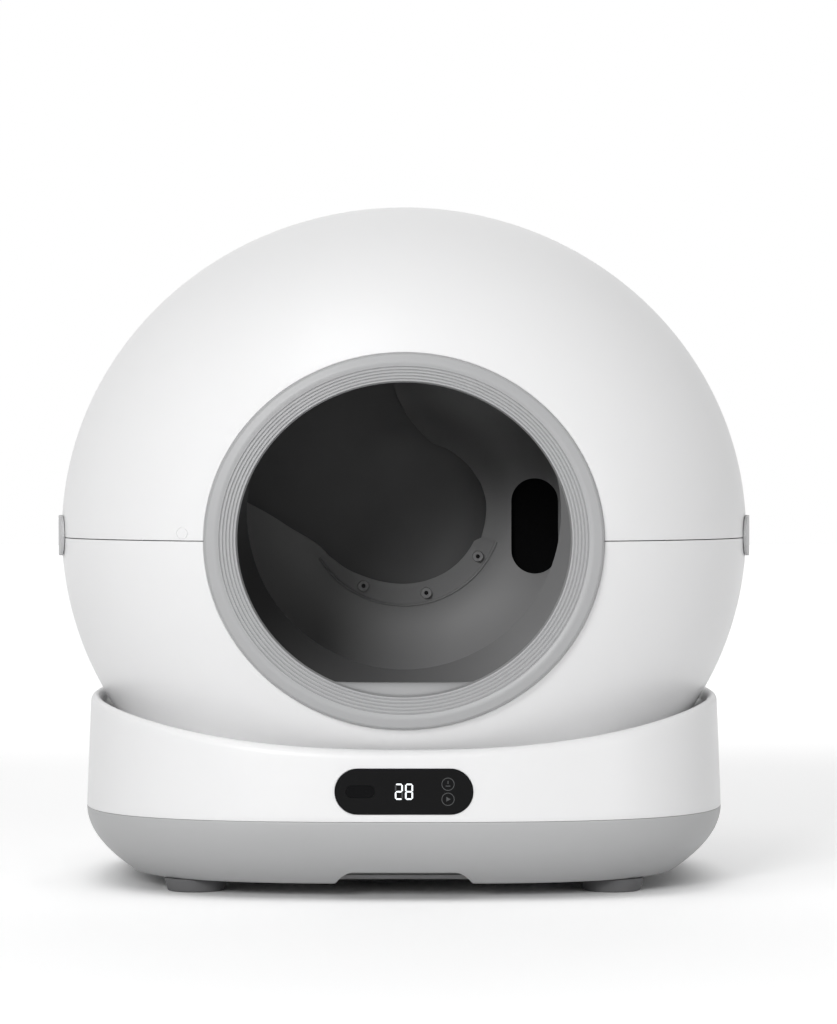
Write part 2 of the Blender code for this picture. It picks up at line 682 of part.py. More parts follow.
def build_tray(parts, cutters, grey_inner, black):
    """Waste tray with drafted walls, and the frame that holds the bag's edge."""
    floor_z = HULL_BOTTOM_Z + FLOOR_THICK + GAP
    centre_y = (TRAY_FRONT_Y + TRAY_REAR_Y) / 2
    half_y = (TRAY_REAR_Y - TRAY_FRONT_Y) / 2

    def tray_loop(inset, z):
        return [(x, y + centre_y, z) for x, y in
                superellipse(TRAY_HALF_WIDTH - inset, half_y - inset, TRAY_POWER, TRAY_SEGMENTS)]

    top = TRAY_TOP_Z
    tray = loft("waste_tray", [tray_loop(TRAY_DRAFT, floor_z), tray_loop(0.0, top)], parts, grey_inner, closed=False)
    cut(tray, loft("tray_cavity", [tray_loop(TRAY_DRAFT + TRAY_WALL, floor_z + TRAY_WALL),
                                   tray_loop(TRAY_WALL, top + OVERRUN)], cutters, closed=False), cutters)
    tidy_mesh(tray)
    edges = [[(x, y) for x, y, z in tray_loop(inset, top)] for inset in (0.0, BAG_FRAME_WIDTH)]
    slab("bag_frame", edges, BAG_FRAME_THICK, Matrix.Translation((0.0, 0.0, top + GAP + BAG_FRAME_THICK / 2)), parts,
         black)


def sphere_radius(y, inset=0.0):
    """Radius of the drum at depth y, inset into its wall."""
    return math.sqrt((DRUM_RADIUS - inset) ** 2 - y ** 2)


def build_drum(parts, cutters, light_grey):
    """Globe drum with its mouth lip, two roller tracks, flat rear wall and waste port."""
    near, far = TRACK_Y - TRACK_WIDTH / 2, TRACK_Y + TRACK_WIDTH / 2
    belly = 6

    def band(sign):
        points = [(sphere_radius(far), sign * far), (TRACK_RADIUS, sign * far), (TRACK_RADIUS, sign * near),
                  (sphere_radius(near), sign * near)]
        return points if sign > 0 else points[::-1]

    middle = [(sphere_radius(y), y) for y in (near * (1 - 2 * i / belly) for i in range(1, belly))]
    rear_in, front_in = DRUM_REAR_Y - WALL, DRUM_FRONT_Y + WALL
    flare = (COLLAR_RADIUS - DRUM_MOUTH_RADIUS) / (front_in - COLLAR_FRONT_Y)
    collar_root = DRUM_MOUTH_RADIUS + COLLAR_WALL + flare * WALL
    outer = ([(0.0, DRUM_REAR_Y), (sphere_radius(DRUM_REAR_Y), DRUM_REAR_Y)] + band(1) + middle + band(-1)
             + [(sphere_radius(DRUM_FRONT_Y), DRUM_FRONT_Y), (collar_root, DRUM_FRONT_Y),
                (COLLAR_RADIUS + COLLAR_WALL, COLLAR_FRONT_Y), (COLLAR_RADIUS, COLLAR_FRONT_Y)])
    count = 7
    depths = [front_in + (rear_in - front_in) * i / count for i in range(count + 1)]
    inner = ([(DRUM_MOUTH_RADIUS, front_in)]
             + [(sphere_radius(y, WALL), y) for y in depths] + [(0.0, rear_in)])
    drum = turned("drum_shell", outer + inner, (0.0, 0.0, DRUM_Z), parts, light_grey)
    port = slab("waste_port", [superellipse(PORT_HALF_WIDTH, PORT_HALF_DEPTH, PORT_POWER, 24)],
                DRUM_RADIUS, Matrix.Translation((0.0, PORT_Y - PORT_HALF_DEPTH, DRUM_Z + DRUM_RADIUS)), cutters)
    cut(drum, port, cutters)
    return tidy_mesh(drum)


def build_partition(parts, cutters, grey):
    """Dished wall that parts the litter bowl from the rear chamber, with its hole, channel and sunk strip."""
    outer_radius = sphere_radius(PART_OUTER_Y, WALL) - PART_CLEARANCE
    count = 5
    front = []
    for i in range(count + 1):
        share = i / count
        radius = outer_radius + (PART_STRIP_RADIUS - outer_radius) * share
        front.append((radius, PART_OUTER_Y + (PART_STRIP_Y - PART_OUTER_Y) * math.sin(share * math.pi / 2)))
    back_y = PART_STRIP_Y + STRIP_RECESS + PART_WALL
    core = [(PART_CORE_RADIUS, PART_STRIP_Y), (PART_CORE_RADIUS, back_y), (PART_STRIP_RADIUS + PART_WALL, back_y)]
    rear = [(r - PART_WALL / 4, y + PART_WALL) for r, y in front[::-1][1:]]
    rear[-1] = (sphere_radius(PART_OUTER_Y + PART_WALL, WALL) - PART_CLEARANCE, PART_OUTER_Y + PART_WALL)
    wall = turned("drum_partition", front + core + rear, (0.0, 0.0, DRUM_Z), parts, grey)
    arc = [(math.radians(turn), share * PART_HOLE_RADIUS) for turn, share in HOLE_ARC_SHARES]
    outline = [(radius * math.cos(turn), radius * math.sin(turn)) for turn, radius in arc]
    outline += [(x * PART_HOLE_RADIUS, z * PART_HOLE_RADIUS) for x, z in CHANNEL_SHARES]
    depth = 2 * (PART_STRIP_Y - PART_OUTER_Y)
    middle = xz_matrix((PART_OUTER_Y + PART_STRIP_Y) / 2)
    cut(wall, slab("channel", [[(x, z + PART_HOLE_CENTRE_Z) for x, z in outline]], depth, middle, cutters), cutters)
    turns = [STRIP_START + (STRIP_END - STRIP_START) * i / STRIP_STEPS for i in range(STRIP_STEPS + 1)]
    sector = [(radius * math.cos(a), PART_HOLE_CENTRE_Z + radius * math.sin(a))
              for radius, way in ((PART_STRIP_RADIUS, 1), (PART_CORE_RADIUS, -1)) for a in turns[::way]]
    cut(wall, slab("strip", [sector], 2 * STRIP_RECESS, xz_matrix(PART_STRIP_Y), cutters), cutters)
    window = stadium(SIDE_PORT_HALF_WIDTH, SIDE_PORT_HALF_HEIGHT, (SIDE_PORT_X, SIDE_PORT_Z))
    cut(wall, slab("side_port", [window], depth, middle, cutters), cutters)
    pad_front, pad_rear = back_y + GAP, DRUM_REAR_Y - WALL - GAP
    edge = stadium(SIDE_PORT_HALF_WIDTH + PAD_MARGIN, SIDE_PORT_HALF_HEIGHT + PAD_MARGIN,
                   (SIDE_PORT_X + PAD_MARGIN / 4, SIDE_PORT_Z))
    slab("odour_pad", [edge], pad_rear - pad_front, xz_matrix((pad_front + pad_rear) / 2), parts,
         bpy.data.materials["dark_window"])
    return tidy_mesh(wall)


def build_sieve(parts, grey):
    """Slotted panel that stands inward from the drum wall beside the port."""
    reach = DRUM_RADIUS - WALL - SIEVE_CLEARANCE
    across = SIEVE_X + SIEVE_THICK / 2
    top = []
    count = 6
    for i in range(count + 1):
        y = SIEVE_REAR_Y + (SIEVE_FRONT_Y - SIEVE_REAR_Y) * i / count
        top.append((y, DRUM_Z + math.sqrt(reach ** 2 - across ** 2 - y ** 2)))
    outline = [(SIEVE_FRONT_Y, SIEVE_BOTTOM_Z), (SIEVE_REAR_Y, SIEVE_BOTTOM_Z)] + top
    pitch = (SIEVE_REAR_Y - SIEVE_FRONT_Y) / SIEVE_SLOTS
    lowest = min(z for y, z in top)
    middle = (SIEVE_BOTTOM_Z + lowest) / 2
    half = (lowest - SIEVE_BOTTOM_Z) / 2 - SIEVE_SLOT_HALF_WIDTH * 2
    slots = [stadium(SIEVE_SLOT_HALF_WIDTH, half, (SIEVE_FRONT_Y + pitch * (i + 0.5), middle), arc=3)
             for i in range(SIEVE_SLOTS)]
    turn = Matrix.Translation((SIEVE_X, 0.0, 0.0)) @ Matrix.Rotation(math.pi / 2, 4, "Z") @ Matrix.Rotation(
        math.pi / 2, 4, "X")
    return slab("sieve_screen", [outline] + slots, SIEVE_THICK, turn, parts, grey)


def gear_outline(teeth, phase):
    """Tooth corners from the involute at the root and the tip, narrowed by the backlash."""
    pitch = MODULE * teeth / 2
    base = pitch * math.cos(PRESSURE_ANGLE)
    root = pitch - MODULE * DEDENDUM_SHARE
    tip = pitch + MODULE * ADDENDUM_SHARE

    def half_angle(radius):
        bend = math.acos(min(1.0, base / max(radius, base)))
        pitch_bend = math.tan(PRESSURE_ANGLE) - PRESSURE_ANGLE
        return (math.pi / 2 / teeth) - BACKLASH / 2 / pitch + pitch_bend - (math.tan(bend) - bend)

    points = []
    for i in range(teeth):
        middle = phase + 2 * math.pi * i / teeth
        for radius, side in ((root, -1), (tip, -1), (tip, 1), (root, 1)):
            angle = middle + side * half_angle(radius)
            points.append((radius * math.cos(angle), radius * math.sin(angle)))
    return points


def circle(radius, count, centre=(0.0, 0.0)):
    return [(centre[0] + radius * math.cos(2 * math.pi * i / count),
             centre[1] + radius * math.sin(2 * math.pi * i / count)) for i in range(count)]


def shifted(outline, x, z):
    return [(px + x, pz + z) for px, pz in outline]


def build_drive(parts, cutters, looks):
    """Ring gear on the drum, pinion, worm gearbox with its motor, and the bracket that holds them."""
    gear_y = RING_GEAR_Y
    gear = slab("ring_gear", [shifted(gear_outline(RING_TEETH, -math.pi / 2), 0.0, DRUM_Z),
                              circle(RING_GEAR_BORE, 36, (0.0, DRUM_Z))], GEAR_WIDTH, xz_matrix(gear_y),
                parts, looks["nylon"])
    phase = math.pi / 2 + math.pi / PINION_TEETH
    pinion = slab("pinion", [shifted(gear_outline(PINION_TEETH, phase), 0.0, PINION_Z),
                             circle(SHAFT_RADIUS + GAP, 16, (0.0, PINION_Z))], GEAR_WIDTH - 2 * SEAT,
                  xz_matrix(gear_y), parts, looks["nylon"])
    gear_back = gear_y + GEAR_WIDTH / 2
    plate_y = gear_back + 2 * SEAT
    shelf, flange_top = BRACKET_SHELF_Z, BRACKET_SHELF_Z + BRACKET_FLANGE
    flange_y = CRADLE_IN_Y + CRADLE_THICK + GAP
    wall = [(plate_y, PINION_Z + BRACKET_TOP), (plate_y, shelf + BRACKET_THICK),
            (flange_y + BRACKET_THICK, shelf + BRACKET_THICK), (flange_y + BRACKET_THICK, flange_top),
            (flange_y, flange_top), (flange_y, shelf), (plate_y + BRACKET_THICK, shelf),
            (plate_y + BRACKET_THICK, PINION_Z + BRACKET_TOP)]
    turn = Matrix.Rotation(math.pi / 2, 4, "Z") @ Matrix.Rotation(math.pi / 2, 4, "X")
    bracket = slab("motor_bracket", [wall], 2 * BRACKET_HALF_WIDTH, turn, parts, looks["steel"])
    cut(bracket, rod("shaft_hole", SHAFT_RADIUS + SEAT, (0, gear_y, PINION_Z), (0, plate_y + OVERRUN, PINION_Z),
                     cutters), cutters)
    tidy_mesh(bracket)
    box_front = plate_y + BRACKET_THICK + GAP
    box("gearbox", (-GEARBOX_HALF_WIDTH, box_front, PINION_Z - GEARBOX_HALF_HEIGHT),
        (GEARBOX_HALF_WIDTH, box_front + GEARBOX_DEPTH, PINION_Z + GEARBOX_HALF_HEIGHT), parts, looks["metal"],
        bevel=FLOOR_THICK / 2)
    front_end = gear_y - GEAR_WIDTH / 2 + SEAT
    rod("drive_shaft", SHAFT_RADIUS, (0, front_end, PINION_Z), (0, box_front - GAP, PINION_Z), parts,
        looks["steel"], sides=16)
    motor_y = box_front + GEARBOX_DEPTH / 2 - MOTOR_OFFSET
    start = GEARBOX_HALF_WIDTH + GAP
    motor_z = PINION_Z - MOTOR_DROP
    rod("motor", MOTOR_RADIUS, (start, motor_y, motor_z), (start + MOTOR_LENGTH, motor_y, motor_z), parts,
        looks["steel"])
    seats = [(SCREW_CIRCLE * math.cos(a), gear_back + GAP, DRUM_Z + SCREW_CIRCLE * math.sin(a))
             for a in (2 * math.pi * i / GEAR_SCREWS for i in range(GEAR_SCREWS))]
    gear_screws = screws("gear_screw", seats, (0, 1, 0), parts, looks["steel"])
    return [gear] + gear_screws, pinion


def screws(name, places, direction, parts, finish, radius=SCREW_HEAD_RADIUS):
    """Pan head screws seated on their faces, one object each, numbered from one."""
    made = []
    along = Vector(direction)
    for number, spot in enumerate(places, 1):
        made.append(rod(f"{name}_{number}", radius, spot, Vector(spot) + along * SCREW_HEAD_HEIGHT, parts, finish,
                        sides=SCREW_SIDES, tip_radius=radius * SCREW_TIP_SHARE))
    return made


def roller_centre(side):
    """Axis of a support roller in the XZ plane, under the drum track."""
    reach = TRACK_RADIUS + ROLLER_RADIUS + GAP
    return side * reach * math.sin(ROLLER_ANGLE), DRUM_Z - reach * math.cos(ROLLER_ANGLE)


def build_cradles(parts, cutters, looks):
    """Two plates on the deck whose arms hold the support rollers under the drum's tracks."""
    foot_z = DECK_Z + GAP
    drum_clear = sphere_radius(CRADLE_IN_Y) + CRADLE_CLEARANCE
    arm_x, arm_z = roller_centre(1)
    boss = ROLLER_RADIUS
    outline = [(-CRADLE_FOOT_HALF_WIDTH, foot_z), (CRADLE_FOOT_HALF_WIDTH, foot_z)]
    right = [(arm_x + boss * math.cos(a), arm_z + boss * math.sin(a))
             for a in (math.radians(-50 + 20 * i) for i in range(8))]
    limit = math.atan2(arm_x - boss, DRUM_Z - arm_z)
    saddle = [(drum_clear * math.sin(turn), DRUM_Z - drum_clear * math.cos(turn))
              for turn in (limit * (1 - 2 * i / 12) for i in range(13))]
    outline += right + saddle + [(-x, z) for x, z in right[::-1]]
    holes = [circle(PIN_RADIUS + GAP, 12, roller_centre(side)) for side in (-1, 1)]
    bore = PIN_RADIUS + GAP
    for sign, label in ((-1, "front"), (1, "rear")):
        middle = sign * (CRADLE_IN_Y + CRADLE_THICK / 2)
        slab("cradle_" + label, [outline] + holes, CRADLE_THICK, xz_matrix(middle), parts, looks["inner"])
        for side, side_label in ((-1, "left"), (1, "right")):
            x, z = roller_centre(side)
            corner = label + "_" + side_label
            near, far = sign * TRACK_Y - ROLLER_WIDTH / 2, sign * TRACK_Y + ROLLER_WIDTH / 2
            roller = turned("roller_" + corner, [(ROLLER_RADIUS, far), (ROLLER_RADIUS, near), (bore, near),
                                                 (bore, far)], (x, 0.0, z), parts, looks["rubber"], steps=20)
            put_origin(roller, (x, sign * TRACK_Y, z))
            inside = sign * (TRACK_Y - ROLLER_WIDTH / 2 - SEAT)
            outside = sign * (CRADLE_IN_Y + CRADLE_THICK + SEAT)
            rod("roller_pin_" + corner, PIN_RADIUS, (x, inside, z), (x, outside, z), parts, looks["steel"], sides=12)


def build_latch(name, side, parts, grey):
    """Curved pad that follows the shell's plan, with round ends, hinged along its lower edge."""
    steps = 12
    loops = []
    inner = GAP
    for i in range(steps + 1):
        share = -1 + 2 * i / steps
        y = LATCH_HALF_LENGTH * math.sin(share * math.pi / 2)
        round_part = max(0.0, abs(y) - (LATCH_HALF_LENGTH - LATCH_HALF_HEIGHT))
        half = math.sqrt(max(0.0, LATCH_HALF_HEIGHT ** 2 - round_part ** 2)) if i not in (0, steps) else GAP * 4
        x = SHELL_HALF_WIDTH * math.sqrt(1 - (y / SHELL_HALF_DEPTH) ** 2) + inner
        centre = SEAM_Z + LATCH_HALF_HEIGHT / 10
        loops.append([(side * x, y, centre - half), (side * (x + LATCH_THICK), y, centre - half + GAP),
                      (side * (x + LATCH_THICK), y, centre + half - GAP), (side * x, y, centre + half)])
    latch = loft(name, loops, parts, grey, closed=False)
    return put_origin(latch, (side * SHELL_HALF_WIDTH, 0.0, SEAM_Z - LATCH_HALF_HEIGHT))


def build_controls(parts, cutters, looks):
    """Black window with its sensor insert, and the display, touch posts and board stacked behind it."""
    depth = LENS_THICK / 2 - LENS_PROUD
    slab("control_lens", [stadium(LENS_HALF_WIDTH, LENS_HALF_HEIGHT),
                          stadium(SENSOR_HALF_WIDTH + GAP, SENSOR_HALF_HEIGHT + GAP, (SENSOR_X, 0.0))],
         LENS_THICK, lens_matrix(depth), parts, looks["gloss"])
    slab("sensor_window", [stadium(SENSOR_HALF_WIDTH, SENSOR_HALF_HEIGHT, (SENSOR_X, 0.0))],
         LENS_THICK, lens_matrix(depth), parts, looks["dark"])
    behind = depth + LENS_THICK / 2 + GAP
    middle = behind + DISPLAY_THICK / 2
    corners = [(DISPLAY_HALF_WIDTH, -DISPLAY_HALF_HEIGHT), (DISPLAY_HALF_WIDTH, DISPLAY_HALF_HEIGHT),
               (-DISPLAY_HALF_WIDTH, DISPLAY_HALF_HEIGHT), (-DISPLAY_HALF_WIDTH, -DISPLAY_HALF_HEIGHT)]
    slab("display_module", [corners], DISPLAY_THICK, lens_matrix(middle), parts, looks["dark"])
    for side, label in ((-1, "lower"), (1, "upper")):
        slab("touch_contact_" + label, [circle(TOUCH_RADIUS, 16, (TOUCH_X, side * TOUCH_HALF_PITCH))], DISPLAY_THICK,
             lens_matrix(middle), parts, looks["steel"])
    board = behind + DISPLAY_THICK + GAP + BOARD_THICK / 2
    corners = [(BOARD_HALF_WIDTH, -BOARD_HALF_HEIGHT), (BOARD_HALF_WIDTH, BOARD_HALF_HEIGHT),
               (-BOARD_HALF_WIDTH, BOARD_HALF_HEIGHT), (-BOARD_HALF_WIDTH, -BOARD_HALF_HEIGHT)]
    slab("control_board", [corners], BOARD_THICK, lens_matrix(board), parts, looks["board"])


def build_underside(parts, pan, cutters, looks):
    """Feet, weighing bars, floor screws and the power inlet."""
    sole_top = HULL_BOTTOM_Z - GAP
    for end, end_label in ((-1, "front"), (1, "rear")):
        for side, side_label in ((-1, "left"), (1, "right")):
            place_x, place_y = side * FOOT_X, end * FOOT_Y
            rod("foot_" + end_label + "_" + side_label, FOOT_RADIUS - BASE_DRAFT / 2, (place_x, place_y, 0.0),
                (place_x, place_y, sole_top), parts, looks["rubber"], tip_radius=FOOT_RADIUS)
    floor_top = HULL_BOTTOM_Z + FLOOR_THICK + GAP
    for end, end_label in ((-1, "front"), (1, "rear")):
        for side, side_label in ((-1, "left"), (1, "right")):
            x = side * (TRAY_HALF_WIDTH + SEAT + GUIDE_WIDTH + GAP + CELL_WIDTH / 2)
            y = end * (FOOT_Y - CELL_LENGTH / 4)
            box("load_cell_" + end_label + "_" + side_label,
                (x - CELL_WIDTH / 2, y - CELL_LENGTH / 2, floor_top),
                (x + CELL_WIDTH / 2, y + CELL_LENGTH / 2, floor_top + CELL_HEIGHT), parts, looks["metal"])
    spots = [(side * TRAY_HALF_WIDTH * FLOOR_SCREW_SHARE, end * FOOT_Y * FLOOR_SCREW_SHARE, sole_top)
             for side in (-1, 1) for end in (-1, 1)]
    screws("base_screw", spots, (0, 0, -1), parts, looks["steel"])
    plan_share = 1 - (abs(INLET_X) / BASE_HALF_WIDTH) ** BASE_POWER
    drop = (BASE_SEAM_Z - INLET_Z) / (BASE_SEAM_Z - HULL_BOTTOM_Z)
    wall_y = (BASE_HALF_DEPTH - HULL_TUCK * drop ** 2) * plan_share ** (1 / BASE_POWER)
    start, end = (INLET_X, wall_y - INLET_LENGTH, INLET_Z), (INLET_X, wall_y + GAP, INLET_Z)
    beyond = (INLET_X, wall_y + OVERRUN, INLET_Z)
    cut(pan, rod("inlet_hole", INLET_RADIUS + GAP, start, beyond, cutters), cutters)
    tidy_mesh(pan)
    rod("power_inlet", INLET_RADIUS, start, end, parts, looks["dark"])


def carry(name, origin, pieces, collection):
    """Parent empty on a joint's axis or slide; the pieces keep their place."""
    empty = bpy.data.objects.new(name, None)
    empty.location = origin
    collection.objects.link(empty)
    bpy.context.view_layer.update()
    for piece in pieces:
        piece.parent = empty
        piece.matrix_parent_inverse = empty.matrix_world.inverted()


def main():
    clear_scene()
    parts = make_collection(COLLECTION)
    cutters = make_collection(CUTTERS)
    looks = {
        "white": material("white_shell", (0.86, 0.86, 0.87), 0.32),
        "grey": material("grey_trim", (0.45, 0.455, 0.465), 0.42),
        "inner": material("inner_grey", (0.20, 0.20, 0.205), 0.5),
        "gloss": material("black_gloss", (0.010, 0.010, 0.011), 0.08),
        "dark": material("dark_window", (0.004, 0.004, 0.005), 0.15),
        "rubber": material("rubber", (0.24, 0.24, 0.25), 0.7),
        "nylon": material("nylon", (0.78, 0.77, 0.72), 0.45),
        "steel": material("steel", (0.62, 0.62, 0.63), 0.3, 1.0),
        "metal": material("cast_metal", (0.48, 0.49, 0.50), 0.45, 1.0),
        "board": material("circuit_board", (0.03, 0.18, 0.08), 0.5),
    }
    shells = build_shells(parts, cutters, looks["white"])
    build_bezel(parts, looks["grey"])
    build_base_housing(parts, cutters, looks["white"])
    pan = build_base_pan(parts, cutters, looks["grey"])
    build_underside(parts, pan, cutters, looks)
    build_fascia(parts, cutters, looks["grey"])
    build_tray(parts, cutters, looks["inner"], looks["dark"])
    build_drum(parts, cutters, looks["inner"])
    build_partition(parts, cutters, looks["inner"])
    strip_y = PART_STRIP_Y + STRIP_RECESS - GAP
    spots = [(PART_SCREW_CIRCLE * math.cos(a), strip_y, PART_HOLE_CENTRE_Z + PART_SCREW_CIRCLE * math.sin(a))
             for a in map(math.radians, PART_SCREW_TURNS)]
    partition_screws = screws("partition_screw", spots, (0, -1, 0), parts, looks["steel"], PART_SCREW_RADIUS)
    lip = COLLAR_FRONT_Y - GAP
    rim = (COLLAR_RADIUS + SEAT, COLLAR_RADIUS + COLLAR_WALL)
    seal = [(rim[0], lip), (rim[1], lip), (rim[1], lip - SEAL_THICK), (rim[0], lip - SEAL_THICK)]
    turned("drum_lip_seal", seal, (0.0, 0.0, DRUM_Z), parts, looks["rubber"])
    build_sieve(parts, looks["nylon"])
    gear_set, pinion = build_drive(parts, cutters, looks)
    build_cradles(parts, cutters, looks)
    build_controls(parts, cutters, looks)
    for name, side in (("latch_left", -1), ("latch_right", 1)):
        build_latch(name, side, parts, looks["grey"])
    named = bpy.data.objects
    on_drum = ["drum_shell", "drum_partition", "odour_pad", "sieve_screen", "drum_lip_seal"]
    carry("drum_axis", (0.0, 0.0, DRUM_Z), [named[name] for name in on_drum] + partition_screws + gear_set, parts)
    carry("pinion_axis", (0.0, RING_GEAR_Y, PINION_Z), [pinion, named["drive_shaft"]], parts)
    carry("drawer_slide", (0.0, TRAY_FRONT_Y, HULL_BOTTOM_Z),
          [named[name] for name in ("drawer_fascia", "waste_tray", "bag_frame")], parts)
    carry("upper_shell_lift", (0.0, 0.0, SEAM_Z), [shells["upper_shell"]], parts)
    middle_y = (SHELL_HALF_DEPTH + ring_crest_y()) / 2
    for obj in named:
        if obj.parent is None:
            obj.location.y -= middle_y


main()
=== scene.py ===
import math

import bmesh
import bpy
from mathutils import Matrix, Vector


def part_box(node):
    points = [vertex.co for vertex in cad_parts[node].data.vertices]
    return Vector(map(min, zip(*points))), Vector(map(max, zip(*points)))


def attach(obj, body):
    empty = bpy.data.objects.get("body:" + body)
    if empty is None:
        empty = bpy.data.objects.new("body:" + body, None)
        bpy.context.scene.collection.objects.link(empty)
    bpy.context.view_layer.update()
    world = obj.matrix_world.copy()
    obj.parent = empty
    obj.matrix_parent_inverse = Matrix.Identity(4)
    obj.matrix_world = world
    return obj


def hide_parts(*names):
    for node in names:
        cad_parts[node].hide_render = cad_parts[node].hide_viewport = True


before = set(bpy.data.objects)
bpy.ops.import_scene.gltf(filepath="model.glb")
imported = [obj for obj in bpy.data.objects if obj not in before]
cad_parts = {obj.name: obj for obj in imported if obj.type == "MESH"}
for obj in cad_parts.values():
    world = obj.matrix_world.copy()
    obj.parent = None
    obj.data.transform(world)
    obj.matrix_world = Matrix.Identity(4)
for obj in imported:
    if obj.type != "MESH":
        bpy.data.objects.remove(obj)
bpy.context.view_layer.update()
print("frame loaded:", len(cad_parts), "nodes")

depthShift = -0.0130894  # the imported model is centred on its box; sizes below count from the shell's centre
tau = 2 * math.pi
tiny = 1e-6
cutMargin = 0.01  # how far a cutter reaches past what it cuts


# node helpers
def link(tree, source, target):
    tree.links.new(source, target)


def setInputs(tree, node, values):
    for label, value in values.items():
        socket = node.inputs[label]
        if isinstance(value, bpy.types.NodeSocket):
            link(tree, value, socket)
        elif socket.type == "RGBA":
            socket.default_value = (*value, 1.0)
        else:
            socket.default_value = value


def addNode(tree, kind, inputs, **settings):
    node = tree.nodes.new(kind)
    for label, value in settings.items():
        setattr(node, label, value)
    setInputs(tree, node, inputs)
    return node


def mathNode(tree, operation, first, second=None, clamp=False):
    inputs = {0: first} if second is None else {0: first, 1: second}
    return addNode(tree, "ShaderNodeMath", inputs, operation=operation, use_clamp=clamp).outputs[0]


def times(tree, first, second, clamp=False):
    return mathNode(tree, "MULTIPLY", first, second, clamp)


def plus(tree, first, second, clamp=False):
    return mathNode(tree, "ADD", first, second, clamp)


def minus(tree, first, second):
    return mathNode(tree, "SUBTRACT", first, second)


def mixColour(tree, amount, first, second):
    return addNode(tree, "ShaderNodeMix", {0: amount, 6: first, 7: second}, data_type="RGBA").outputs[2]


def noise(tree, coords, scale, detail=2.0, roughness=0.5):
    return addNode(tree, "ShaderNodeTexNoise", {"Vector": coords, "Scale": scale, "Detail": detail,
                                                "Roughness": roughness}).outputs["Fac"]


def objectCoords(tree):
    return tree.nodes.new("ShaderNodeTexCoord").outputs["Object"]


def groupTree(name, inputs, outputs):
    tree = bpy.data.node_groups.new(name, "ShaderNodeTree")
    for label, value in inputs.items():
        tree.interface.new_socket(name=label, in_out="INPUT", socket_type="NodeSocketFloat").default_value = value
    for label in outputs:
        tree.interface.new_socket(name=label, in_out="OUTPUT", socket_type="NodeSocketFloat")
    return tree, tree.nodes.new("NodeGroupInput").outputs, tree.nodes.new("NodeGroupOutput").inputs


# spark-eroded mould texture: fine pits on a slow waviness, with a mask of slow tone change
def mouldGrainGroup():
    tree, given, result = groupTree("mouldGrain", {"Grain Size": 900.0, "Grain Share": 0.5, "Wave Size": 9.0},
                                    ("Height", "Tone", "Gloss"))
    coords = objectCoords(tree)
    pits = noise(tree, coords, given["Grain Size"], 3.0, 0.6)
    waves = noise(tree, coords, given["Wave Size"], 2.0, 0.45)
    patches = noise(tree, coords, 22.0, 4.0, 0.55)
    grain = times(tree, pits, given["Grain Share"])
    link(tree, plus(tree, grain, times(tree, waves, 0.3)), result["Height"])
    link(tree, waves, result["Tone"])
    link(tree, plus(tree, times(tree, patches, 0.7), times(tree, pits, 0.3)), result["Gloss"])
    return tree


# handling wear: rubbed edges from the mesh's sharpness, and thin scuffs in patches
def rubbedEdgeGroup():
    tree, given, result = groupTree("rubbedEdge", {"Edge Start": 0.53, "Edge Gain": 14.0, "Scuff Amount": 0.25},
                                    ("Edge", "Scuff"))
    coords = objectCoords(tree)
    sharp = tree.nodes.new("ShaderNodeNewGeometry").outputs["Pointiness"]
    edge = times(tree, minus(tree, sharp, given["Edge Start"]), given["Edge Gain"], clamp=True)
    broken = noise(tree, coords, 60.0, 4.0, 0.6)
    link(tree, times(tree, edge, broken, clamp=True), result["Edge"])
    stretch = addNode(tree, "ShaderNodeMapping", {"Vector": coords, "Scale": (60.0, 260.0, 900.0),
                                                  "Rotation": (0.3, 0.5, 0.9)})
    lines = noise(tree, stretch.outputs["Vector"], 1.0)
    fine = mathNode(tree, "GREATER_THAN", lines, 0.72)
    where = times(tree, minus(tree, noise(tree, coords, 7.0), 0.52), 6.0, clamp=True)
    link(tree, times(tree, times(tree, fine, where), given["Scuff Amount"]), result["Scuff"])
    return tree


# painted shade: a soft dark band beside a rounded edge, on the side that it faces, standing in for the shade there
paintedShadeInputs = {"Centre X": 0.0, "Centre Z": 0.0, "Start Radius": 0.03, "Edge Radius": 0.06, "Fade Radius": 0.09,
                "Toward X": 1.0, "Toward Z": 0.0, "Amount": 0.5}


def paintedShadeGroup():
    tree, given, result = groupTree("creaseShade", paintedShadeInputs, ("Shade",))
    place = addNode(tree, "ShaderNodeSeparateXYZ", {0: objectCoords(tree)}).outputs
    across = minus(tree, place["X"], given["Centre X"])
    upward = minus(tree, place["Z"], given["Centre Z"])
    radius = mathNode(tree, "SQRT", plus(tree, times(tree, across, across), times(tree, upward, upward)))
    along = plus(tree, times(tree, across, given["Toward X"]), times(tree, upward, given["Toward Z"]))
    # full strength where the direction agrees, nothing from about 107 degrees off it
    facing = times(tree, plus(tree, mathNode(tree, "DIVIDE", along, radius), 0.3), 0.77, clamp=True)

    def ramp(low, high):
        return addNode(tree, "ShaderNodeMapRange", {"Value": radius, "From Min": low, "From Max": high},
                       interpolation_type="SMOOTHSTEP").outputs["Result"]

    rise = ramp(given["Start Radius"], given["Edge Radius"])
    fall = minus(tree, 1.0, ramp(given["Edge Radius"], given["Fade Radius"]))
    band = times(tree, times(tree, rise, rise), times(tree, fall, facing))
    link(tree, times(tree, band, given["Amount"]), result["Shade"])
    return tree


mouldGrain = mouldGrainGroup()
rubbedEdge = rubbedEdgeGroup()
creaseShade = paintedShadeGroup()


def placeGroup(tree, group, values):
    return addNode(tree, "ShaderNodeGroup", values, node_tree=group).outputs


def newMaterial(name, colour):
    made = bpy.data.materials.new(name)
    made.use_nodes = True
    made.diffuse_color = (*colour, 1.0)
    return made, made.node_tree


